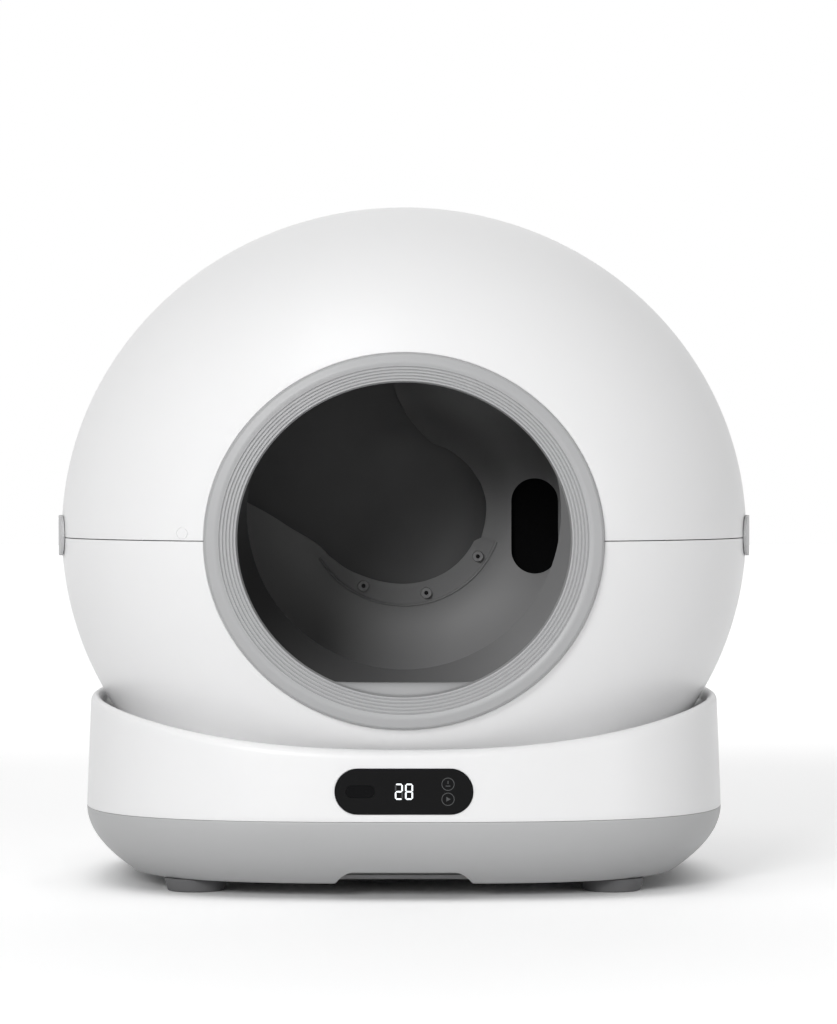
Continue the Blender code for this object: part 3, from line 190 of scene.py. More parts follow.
# what a finish has where its own values don't say otherwise
plainLook = {"grain": 900.0, "grainShare": 0.5, "edgeLift": 1.06, "toneSpread": 0.03, "scuff": 0.25, "bump": 0.12,
             "depth": 0.0002, "metal": 0.0, "specular": 0.5, "crease": None}


# one moulded or metal finish
def finish(name, colour, rough, **changes):
    look = {**plainLook, **changes}
    made, tree = newMaterial(name, colour)
    grain = placeGroup(tree, mouldGrain, {"Grain Size": look["grain"], "Grain Share": look["grainShare"]})
    wear = placeGroup(tree, rubbedEdge, {"Scuff Amount": look["scuff"]})

    def scaled(share):
        return tuple(min(1.0, c * share) for c in colour)

    tone = mixColour(tree, grain["Tone"], scaled(1 - look["toneSpread"]), scaled(1 + look["toneSpread"]))
    tone = mixColour(tree, wear["Edge"], tone, scaled(look["edgeLift"]))
    # painted shade: the band darkens the colour towards black
    if look["crease"]:
        shade = placeGroup(tree, creaseShade, look["crease"])
        tone = mixColour(tree, shade["Shade"], tone, (0.0, 0.0, 0.0))
    shine = addNode(tree, "ShaderNodeMapRange", {"Value": grain["Gloss"], "To Min": rough[0], "To Max": rough[1]})
    bump = addNode(tree, "ShaderNodeBump", {"Strength": look["bump"], "Distance": look["depth"],
                                            "Height": grain["Height"]})
    setInputs(tree, tree.nodes["Principled BSDF"], {
        "Base Color": tone, "Normal": bump.outputs["Normal"], "Metallic": look["metal"],
        "Specular IOR Level": look["specular"],
        "Roughness": plus(tree, shine.outputs["Result"], wear["Scuff"], clamp=True)})
    return made


# a mark that glows: lit display segments give real light, while the faint glow of unlit segments and printed marks is
# painted light
def glowFinish(name, colour, strength):
    made, tree = newMaterial(name, colour)
    tone = mixColour(tree, noise(tree, objectCoords(tree), 900.0, 1.0), tuple(c * 0.82 for c in colour), colour)
    setInputs(tree, tree.nodes["Principled BSDF"], {
        "Base Color": tone, "Emission Color": tone, "Emission Strength": strength, "Roughness": 0.3})
    return made


# the inputs of a painted shade band
def paintedShadeAt(centre, radii, toward, amount):
    return dict(zip(paintedShadeInputs, (*centre, *radii, *toward, amount)))


whiteLook = {"grain": 1400.0, "grainShare": 0.35, "bump": 0.06, "toneSpread": 0.012, "edgeLift": 1.03}
drumLook = {"grain": 1100.0, "grainShare": 0.7, "bump": 0.15, "toneSpread": 0.05, "scuff": 0.3, "edgeLift": 1.3}
finishes = {
    "whiteShell": finish("satinWhiteAbs", (0.865, 0.865, 0.868), (0.30, 0.42), **whiteLook),
    # painted shade: the base's white is set darker than the shell's to offset the stronger light on the collar
    "whiteBase": finish("satinWhiteBase", (0.83, 0.83, 0.833), (0.30, 0.42), **whiteLook),
    "ringGrey": finish("ringGreyAbs", (0.395, 0.397, 0.402), (0.36, 0.50), grain=1600.0, bump=0.10, toneSpread=0.02,
                       edgeLift=1.12),
    "hullGrey": finish("hullGreyAbs", (0.45, 0.453, 0.456), (0.40, 0.55), grain=1500.0, grainShare=0.6,
                       toneSpread=0.025, edgeLift=1.1),
    "latchGrey": finish("latchGreyAbs", (0.475, 0.478, 0.482), (0.35, 0.48), grain=1700.0, bump=0.10, edgeLift=1.1),
    "drumGrey": finish("drumGreyAbs", (0.235, 0.235, 0.238), (0.42, 0.58), **drumLook),
    "bossGrey": finish("bossGreyAbs", (0.36, 0.36, 0.363), (0.42, 0.58), grain=1100.0, bump=0.1, toneSpread=0.04),
    # painted shade and painted light: the hub, wall and collar greys are copies of the drum grey, the hub's darker for
    # the deep shade inside the drum, the wall's lighter for the light that reaches it, and each with a painted shade
    # band
    "hubGrey": finish("hubGreyAbs", (0.118, 0.118, 0.12), (0.42, 0.58), **drumLook,
                      crease=paintedShadeAt((0.0, 0.278), (0.034, 0.066, 0.12), (0.88, 0.47), 0.85)),
    "wallGrey": finish("wallGreyAbs", (0.290, 0.290, 0.293), (0.42, 0.58), **drumLook,
                       crease=paintedShadeAt((0.085, 0.428), (0.030, 0.100, 0.17), (-0.70, -0.71), 0.76)),
    "collarGrey": finish("collarGreyAbs", (0.22, 0.22, 0.222), (0.45, 0.6), grain=1100.0, grainShare=0.7, bump=0.15,
                         toneSpread=0.04, edgeLift=1.2,
                         crease=paintedShadeAt((0.0, 0.276), (0.08, 0.11, 0.5), (-0.9, -0.43), 0.97)),
    "windowBlack": finish("pianoBlackWindow", (0.004, 0.004, 0.0043), (0.10, 0.16), grain=400.0, grainShare=0.2,
                          bump=0.02, specular=0.11, scuff=0.1, edgeLift=1.5),
    "deepBlack": finish("smokedLens", (0.0025, 0.0025, 0.003), (0.10, 0.16), bump=0.02, scuff=0.08, specular=0.08),
    "filterFoam": finish("filterFoam", (0.006, 0.006, 0.0065), (0.85, 0.97), grain=520.0, grainShare=1.0, bump=0.5,
                         depth=0.0006, scuff=0.0, specular=0.1),
    "footRubber": finish("footRubber", (0.115, 0.115, 0.118), (0.62, 0.8), grain=700.0, grainShare=0.9, bump=0.3,
                         edgeLift=1.15),
    "naturalNylon": finish("naturalNylon", (0.76, 0.74, 0.68), (0.38, 0.52), bump=0.1),
    "zincSteel": finish("zincSteel", (0.62, 0.62, 0.63), (0.25, 0.42), metal=1.0, grain=500.0, bump=0.1, edgeLift=1.2),
    "castMetal": finish("castMetal", (0.50, 0.51, 0.52), (0.42, 0.6), metal=1.0, grain=650.0, grainShare=0.9,
                        bump=0.3),
    "boardGreen": finish("boardGreen", (0.03, 0.16, 0.08), (0.3, 0.5), bump=0.08),
    "litSegment": glowFinish("litSegment", (0.86, 0.90, 0.92), 0.75),
    # painted light: unlit segments and printed marks glow faintly though they have no lamp
    "dimSegment": glowFinish("dimSegment", (0.035, 0.036, 0.038), 0.05),
    "printedGrey": glowFinish("printedGrey", (0.055, 0.057, 0.059), 0.035),
}
print("finishes made:", len(finishes))


# mesh helpers
def addObject(name, data):
    obj = bpy.data.objects.new(name, data)
    bpy.context.scene.collection.objects.link(obj)
    return obj


def smooth(mesh, angle):
    mesh.shade_smooth()
    mesh.set_sharp_from_angle(angle=math.radians(angle))


def meshPiece(name, bm, look, smoothAngle=50.0):
    bmesh.ops.remove_doubles(bm, verts=bm.verts, dist=tiny)
    bmesh.ops.recalc_face_normals(bm, faces=bm.faces)
    mesh = bpy.data.meshes.new(name)
    bm.to_mesh(mesh)
    bm.free()
    smooth(mesh, smoothAngle)
    mesh.materials.append(finishes[look])
    return addObject(name, mesh)


# faces between two rows of points, of which one may be a single point
def bridge(bm, first, second, closed=True):
    count = max(len(first), len(second))
    for i in range(count if closed else count - 1):
        j = (i + 1) % count
        corners = (first[i % len(first)], first[j % len(first)], second[j % len(second)], second[i % len(second)])
        bm.faces.new(list(dict.fromkeys(corners)))


def gridPiece(name, rows, look, wrap=True, caps=False, smoothAngle=35.0):
    bm = bmesh.new()
    made = [[bm.verts.new((x, y + depthShift, z)) for x, y, z in row] for row in rows]
    for first, second in zip(made, made[1:]):
        bridge(bm, first, second, wrap)
    if caps:
        bm.faces.new(made[0])
        bm.faces.new(made[-1])
    return meshPiece(name, bm, look, smoothAngle)


# a closed profile of radius and height turned round an axis; place sets a point of it in the part
def turnedPiece(name, profile, place, around, look, smoothAngle):
    bm = bmesh.new()
    turns = [tau * i / around for i in range(around)]
    rows = []
    for radius, height in profile:
        spots = [(0.0, 0.0)] if radius < tiny else circle(radius, turns)
        rows.append([bm.verts.new(place(a, b, height)) for a, b in spots])
    for first, second in zip(rows, rows[1:] + rows[:1]):
        if len(first) > 1 or len(second) > 1:
            bridge(bm, first, second)
    return meshPiece(name, bm, look, smoothAngle)


# outward gives the direction that a face at that spot should look in
def faceOutward(obj, outward):
    bm = bmesh.new()
    bm.from_mesh(obj.data)
    if sum(face.normal.dot(outward(face.calc_center_median())) for face in bm.faces) < 0:
        bmesh.ops.reverse_faces(bm, faces=bm.faces)
    bm.to_mesh(obj.data)
    bm.free()


def bakeModifiers(obj):
    bpy.context.view_layer.update()
    mesh = bpy.data.meshes.new_from_object(obj.evaluated_get(bpy.context.evaluated_depsgraph_get()))
    obj.modifiers.clear()
    old, obj.data = obj.data, mesh
    bpy.data.meshes.remove(old)
    return obj


def thicken(obj, wall, bevel, inward=True, segments=3):
    solid = obj.modifiers.new("wall", "SOLIDIFY")
    solid.thickness = wall
    solid.offset = -1.0 if inward else 1.0
    edge = obj.modifiers.new("edge", "BEVEL")
    edge.width = bevel
    edge.segments = segments
    edge.limit_method = "ANGLE"
    edge.angle_limit = math.radians(40.0)
    edge.harden_normals = False
    bakeModifiers(obj)
    smooth(obj.data, 60.0)
    return obj


def cutWith(obj, cutter):
    step = obj.modifiers.new("cut", "BOOLEAN")
    step.operation = "DIFFERENCE"
    step.solver = "EXACT"
    step.object = cutter
    bakeModifiers(obj)
    bpy.data.objects.remove(cutter, do_unlink=True)
    smooth(obj.data, 50.0)
    return obj


def prism(name, outline, low, high, matrix, look, bevel=0.0):
    bm = bmesh.new()
    lowRow, highRow = ([bm.verts.new((x, y, z)) for x, y in outline] for z in (low, high))
    bridge(bm, lowRow, highRow)
    ends = [bm.faces.new(lowRow), bm.faces.new(highRow)]
    if bevel:
        rim = {edge for face in ends for edge in face.edges}
        bmesh.ops.bevel(bm, geom=list(rim), offset=bevel, segments=3, affect="EDGES", profile=0.5)
    bmesh.ops.transform(bm, matrix=matrix, verts=bm.verts)
    return meshPiece(name, bm, look)


# cuts an outline through a piece; the cut faces take the piece's own first finish
def carve(obj, outline, low, high, matrix):
    return cutWith(obj, prism("cutter", outline, low, high, matrix, "whiteShell"))


def joinPieces(name, pieces, look):
    bm = bmesh.new()
    for piece in pieces:
        bm.from_mesh(piece.data)
    for piece in pieces:
        bpy.data.objects.remove(piece, do_unlink=True)
    return meshPiece(name, bm, look)


def placed(x, y, z):
    return Matrix.Translation((x, y + depthShift, z))


def facingFront(x, y, z):
    return placed(x, y, z) @ Matrix.Rotation(math.pi / 2, 4, "X")


def spaced(start, end, steps):
    return [start + (end - start) * i / steps for i in range(steps + 1)]


def quarterTurn(steps):
    return spaced(0.0, math.pi / 2, steps)


def circle(radius, turns):
    return [(radius * math.cos(a), radius * math.sin(a)) for a in turns]


def ovalPoint(angle, halfX, halfY, power):
    c, s = math.cos(angle), math.sin(angle)
    reach = (abs(c / halfX) ** power + abs(s / halfY) ** power) ** (-1.0 / power)
    return reach * c, reach * s


def superellipse(halfX, halfY, power, count):
    return [ovalPoint(tau * i / count, halfX, halfY, power) for i in range(count)]


def stadium(halfWidth, halfHeight, centre=(0.0, 0.0), arc=24):
    radius = min(halfWidth, halfHeight)
    along = abs(halfWidth - halfHeight)
    points = []
    for side in (1, -1):
        for i in range(arc + 1):
            angle = -math.pi / 2 + math.pi * i / arc
            x, y = side * (along + radius * math.cos(angle)), side * radius * math.sin(angle)
            points.append((x, y) if halfWidth >= halfHeight else (-y, x))
    return [(x + centre[0], y + centre[1]) for x, y in points]


def blockPiece(name, low, high, look, bevel=0.0004):
    bm = bmesh.new()
    size = [b - a for a, b in zip(low, high)]
    middle = [(a + b) / 2 for a, b in zip(low, high)]
    bmesh.ops.create_cube(bm, size=1.0, matrix=placed(*middle) @ Matrix.Diagonal((*size, 1.0)))
    if bevel:
        bmesh.ops.bevel(bm, geom=bm.edges[:], offset=bevel, segments=2, affect="EDGES", profile=0.5)
    return meshPiece(name, bm, look)


# globe: two halves of an ellipsoid, parted at the seam, open at the entrance
globe = {"halfWidth": 0.260, "halfDepth": 0.250, "halfHeight": 0.247, "centreZ": 0.2595, "seamZ": 0.256,
         "footZ": 0.068, "wall": 0.003, "edge": 0.0007, "seamGap": 0.0007, "ringGap": 0.0004, "around": 180,
         "along": 110}
ringSize = {"halfWidth": 0.1423, "halfHeight": 0.1339, "crest": 0.0060, "roll": 0.0030, "band": 0.0095,
            "bandOver": 0.0012, "bandFall": 0.0016, "bandDip": 0.0012, "shellGap": 0.0008, "behindShell": 0.002,
            "grooves": 5, "grooveLead": 0.0015, "groovePitch": 0.0024, "grooveStep": 0.0009, "lip": 0.0017,
            "lipRound": 0.0026, "lipDepth": 0.0035, "lipRise": 0.0008, "mouthHalfWidth": 0.1192,
            "mouthHalfHeight": 0.1120, "mouthRise": 0.0015, "throatStart": 0.004, "throatEndY": -0.188,
            "throatEndRound": 0.001, "throatFlare": 0.0023, "throatFloorZ": 0.1548, "floorDrop": 0.012,
            "floorBlend": 0.003, "flangeInset": 0.008, "flangeDepth": 0.009, "around": 256}
# one groove of the funnel: share of the pitch, and depth in steps
grooveShape = ((0.0, 0.0), (0.10, 0.25), (0.18, 0.9), (0.28, 1.05), (0.45, 0.75), (0.7, 0.55), (0.92, 0.62))


def globeFront(x, z, inset=0.0):
    across = x / (globe["halfWidth"] - inset)
    up = (z - globe["centreZ"]) / (globe["halfHeight"] - inset)
    return -(globe["halfDepth"] - inset) * math.sqrt(max(0.0, 1.0 - across ** 2 - up ** 2))


# share of the full width that the globe has at a height
def globeShare(z):
    return math.sqrt(1 - ((z - globe["centreZ"]) / globe["halfHeight"]) ** 2)


# side is 1 for the upper half and -1 for the lower one
def globeHalf(name, side):
    a, b, h = globe["halfWidth"], globe["halfDepth"], globe["halfHeight"]
    lift = globe["seamZ"] - globe["centreZ"]
    keep = globeShare(globe["seamZ"])
    rows = []
    for turn in spaced(0.0, math.pi, globe["around"]):
        c, s = math.cos(turn), math.sin(turn) * side
        opening = 1 / math.hypot(c / (ringSize["halfWidth"] + globe["ringGap"]),
                                 s / (ringSize["halfHeight"] + globe["ringGap"]))
        frontY = globeFront(opening * c, globe["seamZ"] + opening * s)
        first = math.acos(max(-1.0, min(1.0, -frontY / (b * keep))))
        row = []
        for t in spaced(first, math.pi, globe["along"]):
            y = -b * keep * math.cos(t)
            p = (c / a) ** 2 + (s / h) ** 2
            q = lift * s / h ** 2
            k = (lift / h) ** 2 + (y / b) ** 2 - 1
            reach = (-q + math.sqrt(max(0.0, q * q - p * k))) / p
            row.append((reach * c, y, globe["seamZ"] + reach * s))
        rows.append(row)
    half = gridPiece(name, rows, "whiteShell", wrap=False)
    bm = bmesh.new()
    bm.from_mesh(half.data)
    planes = [(globe["seamZ"] + side * globe["seamGap"] / 2, -side)]
    if side < 0:
        planes.append((globe["footZ"], -1))
    for z, way in planes:
        bmesh.ops.bisect_plane(bm, geom=bm.verts[:] + bm.edges[:] + bm.faces[:], dist=tiny, plane_co=(0, 0, z),
                               plane_no=(0, 0, way), clear_outer=True)
    bm.to_mesh(half.data)
    bm.free()
    faceOutward(half, lambda spot: spot - Vector((0.0, depthShift, globe["centreZ"])))
    return thicken(half, globe["wall"], globe["edge"])


upperGlobe = globeHalf("globeUpper", 1)
lowerGlobe = globeHalf("globeLower", -1)
print("globe halves made")


# entrance ring: rolled outer edge, ribbed funnel, throat with a flat step
def ringLoop(halfX, halfZ, centreZ, depth, floorZ=None):
    loop, blend = [], ringSize["floorBlend"]
    for i in range(ringSize["around"]):
        turn = tau * i / ringSize["around"]
        x, z = halfX * math.cos(turn), centreZ + halfZ * math.sin(turn)
        if floorZ is not None and z < floorZ + blend:
            z = floorZ + blend * math.exp((z - floorZ - blend) / blend)
        loop.append((x, depth(x, z) if callable(depth) else depth, z))
    return loop


def entranceRing():
    r, loops = ringSize, []
    crestY = globeFront(0.0, globe["seamZ"] + r["halfHeight"]) - r["crest"]
    endX, endZ = r["halfWidth"] - r["mouthHalfWidth"], r["halfHeight"] - r["mouthHalfHeight"]
    mouthZ = globe["seamZ"] + r["mouthRise"]

    def add(inset, depth):
        loops.append(ringLoop(r["halfWidth"] - inset, r["halfHeight"] - inset * endZ / endX,
                              globe["seamZ"] + r["mouthRise"] * inset / endX, depth))

    def addMouth(grow, y, floorZ=None):
        loops.append(ringLoop(r["mouthHalfWidth"] + grow, r["mouthHalfHeight"] + grow, mouthZ, y, floorZ))

    add(0.0, lambda x, z: globeFront(x, z, globe["wall"] + r["behindShell"]))
    add(0.0, lambda x, z: globeFront(x, z) + r["shellGap"])
    for turn in quarterTurn(14):
        rise = math.sin(turn) ** 0.9
        add(r["roll"] * (1 - math.cos(turn)),
            lambda x, z, rise=rise: globeFront(x, z) * (1 - rise) + (crestY + r["bandFall"]) * rise)
    for share in spaced(0.0, 1.0, 10)[1:]:
        add(r["roll"] + (r["band"] + r["bandOver"] - r["roll"]) * share,
            crestY + r["bandFall"] * (1 - share) ** 1.3 + r["bandDip"] * max(0.0, 2 * share - 1) ** 1.6)
    for step in range(r["grooves"]):
        edge = r["band"] + r["grooveLead"] + r["groovePitch"] * step
        level = crestY + r["bandDip"] + r["grooveStep"] * step
        for share, sink in grooveShape:
            add(edge + r["groovePitch"] * share, level + r["grooveStep"] * (sink + 0.2 * share) * 1.3)
    innerY = crestY + r["bandDip"] + r["grooveStep"] * (r["grooves"] + 2)
    for turn in quarterTurn(8):
        addMouth(r["lipRound"] * (1 - math.sin(turn)), innerY - r["lipRise"] + r["lipDepth"] * (1 - math.cos(turn)))
    lowest = mouthZ - r["mouthHalfHeight"] - r["floorDrop"]
    startY = innerY + r["throatStart"]
    for share in spaced(0.0, 1.0, 24)[1:]:
        flare = r["throatFlare"] * share - r["lip"] * math.sin(math.pi / 2 * min(1.0, 3 * share)) * (1 - share)
        floorZ = lowest + (r["throatFloorZ"] - lowest) * math.sin(math.pi / 2 * min(1.0, share * 1.15))
        addMouth(flare, startY + (r["throatEndY"] - startY) * share, floorZ)
    for turn in spaced(0.0, math.pi, 4)[1:]:
        out = globe["wall"] / 2 * (1 - math.cos(turn))
        addMouth(r["throatFlare"] + out, r["throatEndY"] + r["throatEndRound"] * math.sin(turn),
                 r["throatFloorZ"] - out)
    loops.append(ringLoop(r["halfWidth"] - r["flangeInset"], r["halfHeight"] - r["flangeInset"], globe["seamZ"],
                          lambda x, z: globeFront(x, z, r["flangeDepth"])))
    return gridPiece("entranceRing", loops + [loops[0]], "ringGrey", smoothAngle=50.0)


ringPiece = entranceRing()
print("entrance ring made")


# base: white collar with a saddle rim over a grey hull that tucks under
base = {"power": 3.0, "halfWidth": 0.2385, "halfDepth": 0.2150, "draft": 0.0028, "seamZ": 0.057, "seamLine": 0.0002,
        "edgeRound": 0.0004, "hullRound": 0.0007, "rimFrontZ": 0.108, "rimSideZ": 0.142, "rimRoll": 0.007,
        "rimWidth": 0.0055, "rimShareX": 0.75, "rimShareY": 0.95, "rimStep": 0.0006, "hullBottomZ": 0.010,
        "hullLevels": 26, "tuck": 0.034, "deckZ": 0.0677, "deckMargin": 0.006, "wall": 0.003, "skinEdge": 0.0003,
        "around": 360, "splitY": -0.090, "splitGap": 0.0006, "rimPower": 2.4, "rimLip": 0.001, "wallStart": 0.001,
        "ledgeGap": 0.0014, "ledgeDrop": 0.0015, "ledgeSink": 0.012, "ledgeThick": 0.0025, "ledgeUnder": 0.0045,
        "ledgeStep": 0.0005, "dishOutX": 0.006, "dishOutY": 0.003, "dishSink": 0.006}
notch = {"halfWidth": 0.0491, "topHalfWidth": 0.0350, "height": 0.009, "cornerPower": 1.6}
chute = {"halfWidth": 0.085, "halfDepth": 0.075, "y": 0.015, "power": 8.0, "edge": 0.001}


def rimHeight(x):
    share = min(1.0, abs(x) / base["halfWidth"]) ** base["rimPower"]
    return base["rimFrontZ"] + (base["rimSideZ"] - base["rimFrontZ"]) * share


def planLoop(halfX, halfY, power, z, centreY=0.0):
    return [(x, y + centreY, z(x) if callable(z) else z) for x, y in superellipse(halfX, halfY, power, base["around"])]


def baseLoop(inset, z, insetY=None):
    insetY = inset if insetY is None else insetY
    return planLoop(base["halfWidth"] - inset, base["halfDepth"] - insetY, base["power"], z)


def collar():
    b = base
    footShare = globeShare(globe["footZ"])
    deckX = globe["halfWidth"] * footShare + b["deckMargin"]
    deckY = globe["halfDepth"] * footShare + b["deckMargin"]
    bottom = b["seamZ"] + b["seamLine"]
    under = b["deckZ"] - b["wall"]

    def rim(drop):
        return lambda x: rimHeight(x) - drop

    # the ledge follows the globe, so each point's width and height are found together
    def ledge(drop):
        loop = []
        for c, s in superellipse(1.0, 1.0, 2.0, b["around"]):
            x = b["halfWidth"] * c
            for _ in range(12):
                sink = b["ledgeSink"] * min(1.0, abs(x) / b["halfWidth"]) ** 8
                z = rimHeight(x) - b["rimRoll"] - b["ledgeDrop"] - sink
                reach = globeShare(z)
                x = (globe["halfWidth"] * reach + b["ledgeGap"]) * c
            loop.append((x, (globe["halfDepth"] * reach + b["ledgeGap"]) * s, z - drop))
        return loop

    edge, start = b["edgeRound"], bottom + b["wallStart"]
    loops = [baseLoop(edge * (1 - math.sin(turn)), bottom + edge * (1 - math.cos(turn)))
             for turn in quarterTurn(3)]
    for share in spaced(0.0, 1.0, 13)[1:-1]:
        loops.append(baseLoop(b["draft"] * share,
                              lambda x, share=share: start + (rimHeight(x) - b["rimRoll"] - start) * share))
    for turn in spaced(0.0, math.pi, 14):
        across = b["rimWidth"] * (1 - math.cos(turn))
        loops.append(baseLoop(b["draft"] + across * b["rimShareX"], rim(b["rimRoll"] * (1 - math.sin(turn))),
                              b["draft"] + across * b["rimShareY"]))
    insideX = b["draft"] + 2 * b["rimWidth"] * b["rimShareX"] + b["rimStep"]
    insideY = b["draft"] + 2 * b["rimWidth"] * b["rimShareY"] + b["rimStep"]
    topX, topY = b["halfWidth"] - insideX, b["halfDepth"] - insideY
    loops += [baseLoop(insideX, rim(b["rimRoll"] + b["rimLip"]), insideY), ledge(0.0), ledge(b["ledgeThick"]),
              baseLoop(insideX - b["ledgeStep"], rim(b["rimRoll"] + b["ledgeUnder"]), insideY - b["ledgeStep"]),
              planLoop((topX + deckX) / 2 + b["dishOutX"], (topY + deckY) / 2 + b["dishOutY"], (2.0 + b["power"]) / 2,
                       (b["deckZ"] + b["rimFrontZ"]) / 2 - b["dishSink"]),
              planLoop(deckX, deckY, 2.0, b["deckZ"])]
    for grow, z in ((chute["edge"], b["deckZ"]), (0.0, b["deckZ"] - chute["edge"]), (0.0, under - b["wall"]),
                    (b["wall"], under - b["wall"]), (b["wall"], under)):
        loops.append(planLoop(chute["halfWidth"] + grow, chute["halfDepth"] + grow, chute["power"], z, chute["y"]))
    loops += [planLoop(deckX, deckY, 2.0, under), baseLoop(b["wall"] + b["draft"], under + b["wall"] / 2),
              baseLoop(b["wall"], bottom)]
    return gridPiece("baseCollar", loops + [loops[0]], "whiteBase", smoothAngle=50.0)


window = {"halfWidth": 0.0489, "halfHeight": 0.016, "z": 0.0787, "thick": 0.004, "proud": 0.0004, "edge": 0.0006,
          "pocketGap": 0.0004, "sensorX": -0.031, "sensorHalfWidth": 0.0102, "sensorHalfHeight": 0.0042,
          "sensorGap": 0.0002, "sensorSink": 0.0001, "sensorEdge": 0.0004, "touchX": 0.0312, "touchHalfPitch": 0.0053,
          "touchRadius": 0.0046, "touchStroke": 0.0005}


# the plane of the control window, leaning with the collar's front
def lensMatrix(depth):
    lean = math.atan2(base["draft"], base["rimFrontZ"] - base["seamZ"])
    front = -base["halfDepth"] + (window["z"] - base["seamZ"]) * math.tan(lean)
    return (placed(0.0, front, window["z"]) @ Matrix.Rotation(-lean, 4, "X") @ Matrix.Translation((0.0, depth, 0.0))
            @ Matrix.Rotation(math.pi / 2, 4, "X"))


# small round plug in the upper shell, outlined by a hairline
plug = {"x": -0.158, "z": 0.2614, "halfWidth": 0.0052, "halfHeight": 0.0043, "line": 0.0006, "depth": 0.0006}


def plugStand():
    front = Vector((plug["x"], globeFront(plug["x"], plug["z"]), plug["z"]))
    normal = Vector((front.x / globe["halfWidth"] ** 2, front.y / globe["halfDepth"] ** 2,
                     (front.z - globe["centreZ"]) / globe["halfHeight"] ** 2)).normalized()
    turn = (-normal).to_track_quat("Z", "Y").to_matrix().to_4x4()
    return Matrix.Translation(front + Vector((0.0, depthShift, 0.0))) @ turn


def plugOutline(shell):
    def oval(name, inset, low, high):
        outline = superellipse(plug["halfWidth"] - inset, plug["halfHeight"] - inset, 2.0, 48)
        return prism(name, outline, low, high, plugStand(), "whiteShell")

    line = cutWith(oval("plugLine", 0.0, -2 * cutMargin, plug["depth"]),
                   oval("plugCore", plug["line"], -3 * cutMargin, cutMargin))
    return cutWith(shell, line)


plugOutline(upperGlobe)
collarPiece = collar()
pocket = stadium(window["halfWidth"] + window["pocketGap"], window["halfHeight"] + window["pocketGap"])
carve(collarPiece, pocket, -2 * cutMargin, 2 * cutMargin, lensMatrix(0.0))
print("collar made")


def hullInset(z):
    drop = max(0.0, base["seamZ"] - z) / (base["seamZ"] - base["hullBottomZ"])
    return base["tuck"] * drop ** 2


# the drawer front's share of the plan, in even steps from one split to the other
def hullArc(inset, z, steps=240, samples=2000):
    halfX, halfY = base["halfWidth"] - inset, base["halfDepth"] - inset
    cut = base["splitY"] - base["splitGap"]
    first = math.atan2(cut, halfX * (1 - (abs(cut) / halfY) ** base["power"]) ** (1 / base["power"]))
    dense = [ovalPoint((-math.pi - first) * share + first * (1 - share), halfX, halfY, base["power"])
             for share in spaced(0.0, 1.0, samples)]
    lengths = [0.0]
    for p, q in zip(dense, dense[1:]):
        lengths.append(lengths[-1] + math.dist(p, q))
    arc, k = [], 0
    for want in spaced(0.0, lengths[-1], steps):
        while k < samples - 1 and lengths[k + 1] < want:
            k += 1
        f = (want - lengths[k]) / (lengths[k + 1] - lengths[k])
        arc.append((*(a + (b - a) * f for a, b in zip(dense[k], dense[k + 1])), z))
    return arc


def notchRise(x):
    share = (notch["halfWidth"] - abs(x)) / (notch["halfWidth"] - notch["topHalfWidth"])
    return notch["height"] * (1 - (1 - min(1.0, max(0.0, share))) ** notch["cornerPower"])


def drawerFront():
    levels = base["hullLevels"]
    rows = [hullArc(hullInset(z), z) for z in spaced(base["hullBottomZ"], base["seamZ"], levels)]
    rise = [notchRise(x) for x, _, _ in rows[0]]
    raisedRows = []
    for i, row in enumerate(rows):
        line = []
        for (x, y, z), up in zip(row, rise):
            height = z + up * (1 - i / levels)
            inset, before = hullInset(height), hullInset(z)
            line.append((x * (base["halfWidth"] - inset) / (base["halfWidth"] - before),
                         y * (base["halfDepth"] - inset) / (base["halfDepth"] - before), height))
        raisedRows.append(line)
    skin = gridPiece("drawerFront", raisedRows, "hullGrey", wrap=False)
    faceOutward(skin, lambda spot: Vector((spot.x, spot.y - depthShift, 0.0)))
    return thicken(skin, base["wall"], base["skinEdge"])


# sides and rear of the hull with the floor, the drawer guides and the stop
pan = {"floor": 0.003, "edgeInset": 0.006, "guideReach": 0.1508, "guideWidth": 0.004, "guideHeight": 0.011,
       "guideFrontY": -0.140, "trayRearY": 0.150, "stopHalfWidth": 0.075, "stopGap": 0.0008, "inletX": -0.090,
       "inletZ": 0.035, "inletRadius": 0.0058, "fingerHalfWidth": 0.052, "fingerReach": 0.028}


